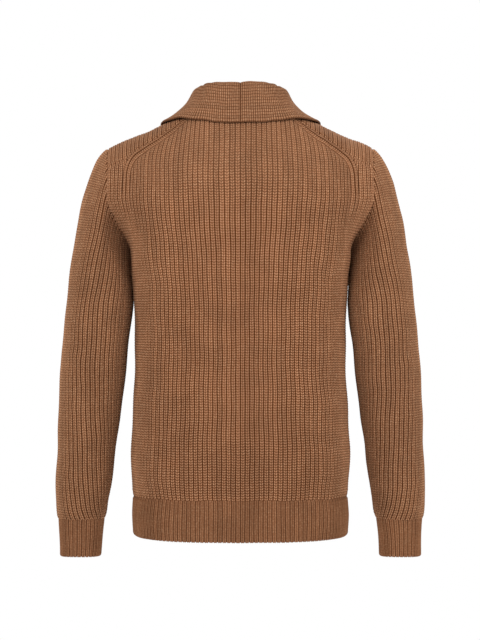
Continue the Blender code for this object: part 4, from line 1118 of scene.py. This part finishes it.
YARN = (0.46, 0.212, 0.106, 1.0)
YARN_LIGHT = (0.62, 0.335, 0.185, 1.0)
# Dark fibres, and the colour of the painted shade in the knit's valleys and between its rows
DARK_FIBRE_AND_SHADE = (0.085, 0.025, 0.006, 1.0)

# How dark the painted shade is in valleys, in the middle of a rib, between rows; slant; tones
KNITS = {
    "body": (1.0, 0.62, 0.78, 0.52, (0.955, 0.955, 0.955)),
    "rib": (0.76, 0.56, 0.15, 0.5, (0.55, 0.512, 0.48)),
    "collar": (0.62, 0.0, 0.7, 0.0, (0.73, 0.73, 0.73)),
}
STRIP_SLOPE = 0.73  # how fast the fashioned strip falls away from the neck
# Places in metres where painted shade and tones change, each from its first number to its second
ARM_LINE = (0.2, 0.15)  # distance from the middle: the shoulder's painted shade
ABOVE_STRIP, BELOW_STRIP = (0.058, 0.08), (0.046, 0.03)  # height past the strip's slope
BEHIND = (0.0, 0.03)  # depth: the back's painted shade
YOKE = (-0.2, -0.05)  # height: the upper back, which gets painted shade
# height over which painted shade at the bottom gives way to painted light at the top
PAINTED_SHADE_HEIGHT = (-0.66, -0.04)
MIDDLE_SEAM = (0.002, 0.0007)  # distance from the middle: painted shade in the groove of the collar's seam
ASIDE = 0.09  # distance from the middle where the back starts to turn away, and painted shade darkens it


def knit(name, kind):
    """Ribbed wool: painted shade in valleys and between rows, slanting stitches, mixed fibres and
    a soft bloom; painted shade also on the sides, the upper back and towards the bottom.
    """
    valley_shade, groove_shade, row_gap_shade, slant, tones = KNITS[kind]
    g = Graph(name)
    where = g.where()
    x, y, z = g.parts(where)
    u, v, _ = g.parts(g.node("ShaderNodeUVMap", uv_map="Stitch").outputs[0])
    off = g.math("ABSOLUTE", g.minus(g.times(g.math("FRACT", u), 2.0), 1.0))
    phase = g.minus(v, g.times(g.minus(off, 0.5), slant))
    wave = g.math("COSINE", g.times(phase, 2 * math.pi))
    # Painted shade in the gaps between rows of stitches
    painted_row_shade = g.between(wave, 0.45, -0.5, 0.0, row_gap_shade)
    aside = g.math("ABSOLUTE", x)
    if kind == "body":
        # Less painted shade between rows on the sides
        painted_row_shade = g.times(painted_row_shade, g.between(aside, ASIDE, 0.18, 1.0, 0.7))
    # Painted shade in the valleys and the middle groove of each rib
    valley = g.between(off, 0.58, 0.92, 0.0, valley_shade)
    deep = g.math("MAXIMUM", valley, g.between(off, 0.33, 0.06, 0.0, groove_shade))
    deep = g.minus(1.0, g.times(g.minus(1.0, deep), g.minus(1.0, painted_row_shade)))
    if kind == "collar":
        # Painted shade in the groove of the collar's middle seam
        deep = g.math("MAXIMUM", deep, g.between(aside, *MIDDLE_SEAM, 0.0, 0.85))
    if kind == "body":
        past_strip = g.math("ADD", z, g.times(aside, STRIP_SLOPE))
        inside = g.between(aside, *ARM_LINE)
        above = g.times(g.between(past_strip, *ABOVE_STRIP), inside, g.between(y, *BEHIND))
        yoke = g.times(g.between(z, *YOKE), inside)
        field = g.times(yoke, g.between(past_strip, *BELOW_STRIP))
        # Less painted shade in the valleys over the shoulder and on the upper back
        deep = g.times(deep, g.between(above, 0.0, 1.0, 1.0, 0.66))
        deep = g.times(deep, g.between(field, 0.0, 1.0, 1.0, 0.78))

    fibres = g.noise(where, 1300.0, 3.0, 0.65)
    flecks = g.noise(where, 420.0, 2.0, 0.6)
    patches = g.noise(where, 26.0, 3.0, 0.55)
    wide = g.noise(where, 5.0, 1.0)
    rib_number = {"W": g.math("FLOOR", u)}
    per_rib = g.node("ShaderNodeTexWhiteNoise", rib_number, noise_dimensions="1D").outputs[0]
    colour = g.mix(g.between(flecks, 0.42, 0.72), YARN, YARN_LIGHT)
    colour = g.mix(g.between(fibres, 0.5, 0.75, 0.0, 0.35), colour, DARK_FIBRE_AND_SHADE)
    # The painted shade mixes in the dark colour
    colour = g.mix(deep, colour, DARK_FIBRE_AND_SHADE)
    # Random tones, and painted shade towards the bottom with painted light towards the top
    shade = g.times(
        g.between(per_rib, 0.0, 1.0, 0.93, 1.08),
        g.between(patches, 0.3, 0.7, 0.92, 1.07),
        g.between(wide, 0.3, 0.7, 0.95, 1.04),
        g.between(z, *PAINTED_SHADE_HEIGHT, 0.92, 1.03),
    )
    if kind == "body":
        shade = g.times(
            shade,
            # painted shade on the sides, which turn away from the light
            g.between(aside, ASIDE, 0.19, 1.0, 0.88),
            # painted shade on the upper back and over the shoulder
            g.between(yoke, 0.0, 1.0, 1.0, 0.87),
            g.between(above, 0.0, 1.0, 1.0, 0.9),
        )
    toned = {k: g.times(shade, tone) for k, tone in enumerate(tones)}
    toned = g.node("ShaderNodeCombineXYZ", toned).outputs[0]
    g.surface(
        g.mix(1.0, colour, toned, "MULTIPLY"),
        g.between(fibres, 0.3, 0.7, 0.84, 0.96),
        Sheen_Weight=0.07,
        Sheen_Roughness=0.5,
        Sheen_Tint=(0.8, 0.48, 0.28, 1.0),
        Specular_IOR_Level=0.06,
    )
    g.bump(g.math("ADD", g.minus(1.0, deep), g.times(fibres, 0.5)), 0.8, 0.0006)
    return g.material


def horn(name):
    """Dark brown button stuff with soft streaks and a satin surface."""
    g = Graph(name)
    inputs = {"Vector": g.where(), "Scale": (60.0, 60.0, 320.0)}
    streaks = g.noise(g.node("ShaderNodeMapping", inputs).outputs[0], 2.0, 4.0, 0.6)
    dark, light = (0.03, 0.014, 0.008, 1.0), (0.115, 0.055, 0.028, 1.0)
    colour = g.mix(g.between(streaks, 0.35, 0.7), dark, light)
    roughness = g.between(streaks, 0.3, 0.7, 0.34, 0.5)
    g.surface(colour, roughness, Coat_Weight=0.12, Coat_Roughness=0.25)
    g.bump(streaks, 0.15, 0.0003)
    return g.material


def thread(name):
    """Twisted brown sewing thread."""
    g = Graph(name)
    inputs = {"Vector": g.where(), "Scale": 900.0}
    twist = g.node("ShaderNodeTexWave", inputs, bands_direction="DIAGONAL").outputs["Fac"]
    g.surface(g.mix(twist, (0.05, 0.022, 0.012, 1.0), (0.13, 0.06, 0.035, 1.0)), 0.8)
    g.bump(twist, 0.5, 0.0002)
    return g.material


# ---- buttons
BUTTON_OUTLINE = (  # radius, height above the band
    (0, 2), (4.4, 2), (6.6, 2.15), (7.7, 2.7), (8.6, 3.3), (9.5, 3.3), (10.2, 2.8), (10.5, 2),
    (10.4, 1.1), (9.8, 0.35), (8.6, 0), (0, 0),
)
BUTTON_SIDES = 48
HOLE_AT = 2.3  # from the middle, across and up
HOLE_RADIUS = 1.0
HOLE_SIDES = 20
HOLE_DEPTH, HOLE_MIDDLE = 12, 1.5  # longer than the button is thick; its height
THREAD_RADIUS = 0.36
THREAD_SIDES = 8
STRANDS_AT = 0.35  # from the middle of a pair of holes
THREAD_HEIGHT = 2.35
THREAD_BOW = 0.35  # how far it stands up between the holes
THREAD_POINTS = 9
DIVE_FROM, DIVE = 0.75, 8.0  # share of the way where it turns down, and how steeply
SHARP = math.radians(40)
BUTTON_AXES = np.array([[1.0, 0.0, 0.0], [0.0, 0.0, 1.0], [0.0, -1.0, 0.0]])


def skin(work, rings):
    """Faces between rings of points, in a bmesh; a ring of one point is a tip."""
    for first, second in zip(rings[:-1], rings[1:]):
        count = max(len(first), len(second))
        for k in range(count):
            near, far = k, (k + 1) % count
            places_on = ((first, near), (second, near), (second, far), (first, far))
            work.faces.new(dict.fromkeys(ring[at % len(ring)] for ring, at in places_on))


def add_thread(work, points):
    """A round thread through points."""
    rings = []
    for k, point in enumerate(points):
        ahead = Vector(points[min(k + 1, len(points) - 1)]) - Vector(points[max(k - 1, 0)])
        first = ahead.orthogonal().normalized()
        second = ahead.normalized().cross(first)
        ring = []
        for n in range(THREAD_SIDES):
            turn = 2 * math.pi * n / THREAD_SIDES
            aside = (first * math.cos(turn) + second * math.sin(turn)) * THREAD_RADIUS
            ring.append(work.verts.new(Vector(point) + aside))
        rings.append(ring)
    skin(work, rings)
    work.faces.new(rings[0][::-1])
    work.faces.new(rings[-1])


def link(name, work, material):
    """A piece made from a bmesh."""
    bmesh.ops.recalc_face_normals(work, faces=work.faces)
    mesh = bpy.data.meshes.new(name)
    work.to_mesh(mesh)
    work.free()
    piece = in_scene(name, mesh, material)
    mesh.set_sharp_from_angle(angle=SHARP)
    return piece


def button_piece(number):
    """A button with four holes, and the thread that holds it, round their own origin."""
    work = bmesh.new()
    rings = []
    for radius, height in BUTTON_OUTLINE:
        angles = [2 * math.pi * k / BUTTON_SIDES for k in range(BUTTON_SIDES if radius else 1)]
        rings.append([
            work.verts.new((radius * math.cos(angle), radius * math.sin(angle), height))
            for angle in angles
        ])
    skin(work, rings)
    button = link(f"Button_{number}", work, button_horn)

    work = bmesh.new()
    for x in (HOLE_AT, -HOLE_AT):
        for y in (HOLE_AT, -HOLE_AT):
            radii = {"radius1": HOLE_RADIUS, "radius2": HOLE_RADIUS}
            made = bmesh.ops.create_cone(
                work, cap_ends=True, segments=HOLE_SIDES, depth=HOLE_DEPTH, **radii
            )
            bmesh.ops.translate(work, verts=made["verts"], vec=(x, y, HOLE_MIDDLE))
    cutter = link("Cutter", work, button_horn)
    cut = button.modifiers.new("Holes", "BOOLEAN")
    cut.object = cutter
    cut.operation = "DIFFERENCE"
    cut.solver = "EXACT"
    depsgraph = bpy.context.evaluated_depsgraph_get()
    done = bpy.data.meshes.new_from_object(button.evaluated_get(depsgraph))
    button.modifiers.clear()
    button.data = done
    bpy.data.objects.remove(cutter, do_unlink=True)
    done.shade_smooth()
    done.set_sharp_from_angle(angle=SHARP)

    work = bmesh.new()
    for side in (-1, 1):
        for strand in (-STRANDS_AT, STRANDS_AT):
            path = []
            for t in np.linspace(0, 1, THREAD_POINTS):
                down = DIVE * max(abs(2 * t - 1) - DIVE_FROM, 0)
                lift = THREAD_HEIGHT + THREAD_BOW * math.sin(math.pi * t) - down
                path.append((HOLE_AT * (2 * t - 1), side * HOLE_AT + strand, lift))
            add_thread(work, path)
    return button, link(f"Button_Thread_{number}", work, button_thread)


def place(thing, seat):
    """Moves a mesh that was made round its own origin to its place on the band."""
    points = np.empty(len(thing.data.vertices) * 3)
    thing.data.vertices.foreach_get("co", points)
    moved = (points.reshape(-1, 3) @ BUTTON_AXES + seat) * MM
    thing.data.vertices.foreach_set("co", moved.ravel())
    thing.data.update()


# ---- the garment
knits = {f"{kind}_knit": knit(f"{kind.capitalize()}_Knit", kind) for kind in KNITS}
button_horn = horn("Button_Horn")
button_thread = thread("Button_Thread")


def keep(name, cloth, slot_name):
    """Makes a piece that stands for the solid of the same name."""
    piece = cloth.mesh(name, knits[slot_name])
    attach(piece, "root")
    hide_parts(name.lower())


keep("Back", back_piece(), "body_knit")
for hand, name in ((1, "Left"), (-1, "Right")):
    keep(f"Front_{name}", front_piece(hand), "body_knit")
    keep(f"Sleeve_{name}", sleeve_piece(hand), "body_knit")
    keep(f"Cuff_{name}", cuff_piece(hand), "rib_knit")
    keep(f"Hem_{name}", hem_piece(SIDE_FRONT, (hand,)), "rib_knit")
keep("Hem_Back", hem_piece(SIDE_BACK), "rib_knit")
for hand, name, table, level in (
    (1, "Left", LEFT_COLLAR, LEFT_LEVEL),
    (-1, "Right", RIGHT_COLLAR, RIGHT_LEVEL),
):
    half = collar_piece(table, level, hand)
    keep(f"Collar_{name}", half, "collar_knit")

for number in range(1, 6):
    node = f"button_{number}"
    low, high = np.array(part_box(node)) / MM
    seat = np.array([(low[0] + high[0]) / 2, high[1], (low[2] + high[2]) / 2])
    button, sewing = button_piece(number)
    for thing in (button, sewing):
        place(thing, seat)
        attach(thing, "root")
    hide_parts(node)

# ---- floor, light and camera
FLOOR_HEIGHT, FLOOR_RADIUS, FLOOR_SIDES = -1.5, 3.2, 96
FLOOR_COLOUR = (0.86, 0.86, 0.86, 1.0)
floor_work = bmesh.new()
bmesh.ops.create_circle(floor_work, cap_ends=True, radius=FLOOR_RADIUS, segments=FLOOR_SIDES)
bmesh.ops.translate(floor_work, verts=floor_work.verts, vec=(0, 0, FLOOR_HEIGHT))
floor_look = Graph("Pale_Floor")
floor_look.surface(FLOOR_COLOUR, 0.8)
floor = link("Floor", floor_work, floor_look.material)

scene = bpy.context.scene
world = bpy.data.worlds.new("Studio")
world.use_nodes = True
background = world.node_tree.nodes["Background"].inputs
background["Color"].default_value = (1.0, 1.0, 1.0, 1.0)
background["Strength"].default_value = 1.0
scene.world = world
scene.view_settings.view_transform = "Standard"

LIGHTS = (  # name, place, looks at, size, power
    ("Key", (1.3, 3.2, 1.9), (0.0, 0.0, -0.3), 1.6, 46.0),
    ("Fill", (-2.2, 2.6, 0.6), (0.0, 0.0, -0.35), 2.0, 22.0),
    ("Front_Key", (-1.4, -3.2, 1.9), (0.0, 0.0, -0.3), 1.6, 46.0),
    ("Front_Fill", (2.2, -2.6, 0.6), (0.0, 0.0, -0.35), 2.0, 22.0),
)
for name, spot, target, size, power in LIGHTS:
    data = bpy.data.lights.new(name, "AREA")
    data.shape = "DISK"
    data.size = size
    data.energy = power
    lamp = bpy.data.objects.new(name, data)
    lamp.location = spot
    lamp.rotation_euler = (Vector(target) - Vector(spot)).to_track_quat("-Z", "Y").to_euler()
    scene.collection.objects.link(lamp)

CAMERA_PLACE = (0.0006, 3.0, -0.3276)  # behind the garment
CAMERA_SENSOR, CAMERA_LENS = 36.0, 107.1
camera_data = bpy.data.cameras.new("Camera")
camera_data.sensor_width = CAMERA_SENSOR
camera_data.lens = CAMERA_LENS
camera = bpy.data.objects.new("Camera", camera_data)
camera.location = CAMERA_PLACE
camera.rotation_euler = (math.radians(90), 0.0, math.radians(180))
scene.collection.objects.link(camera)
scene.camera = camera
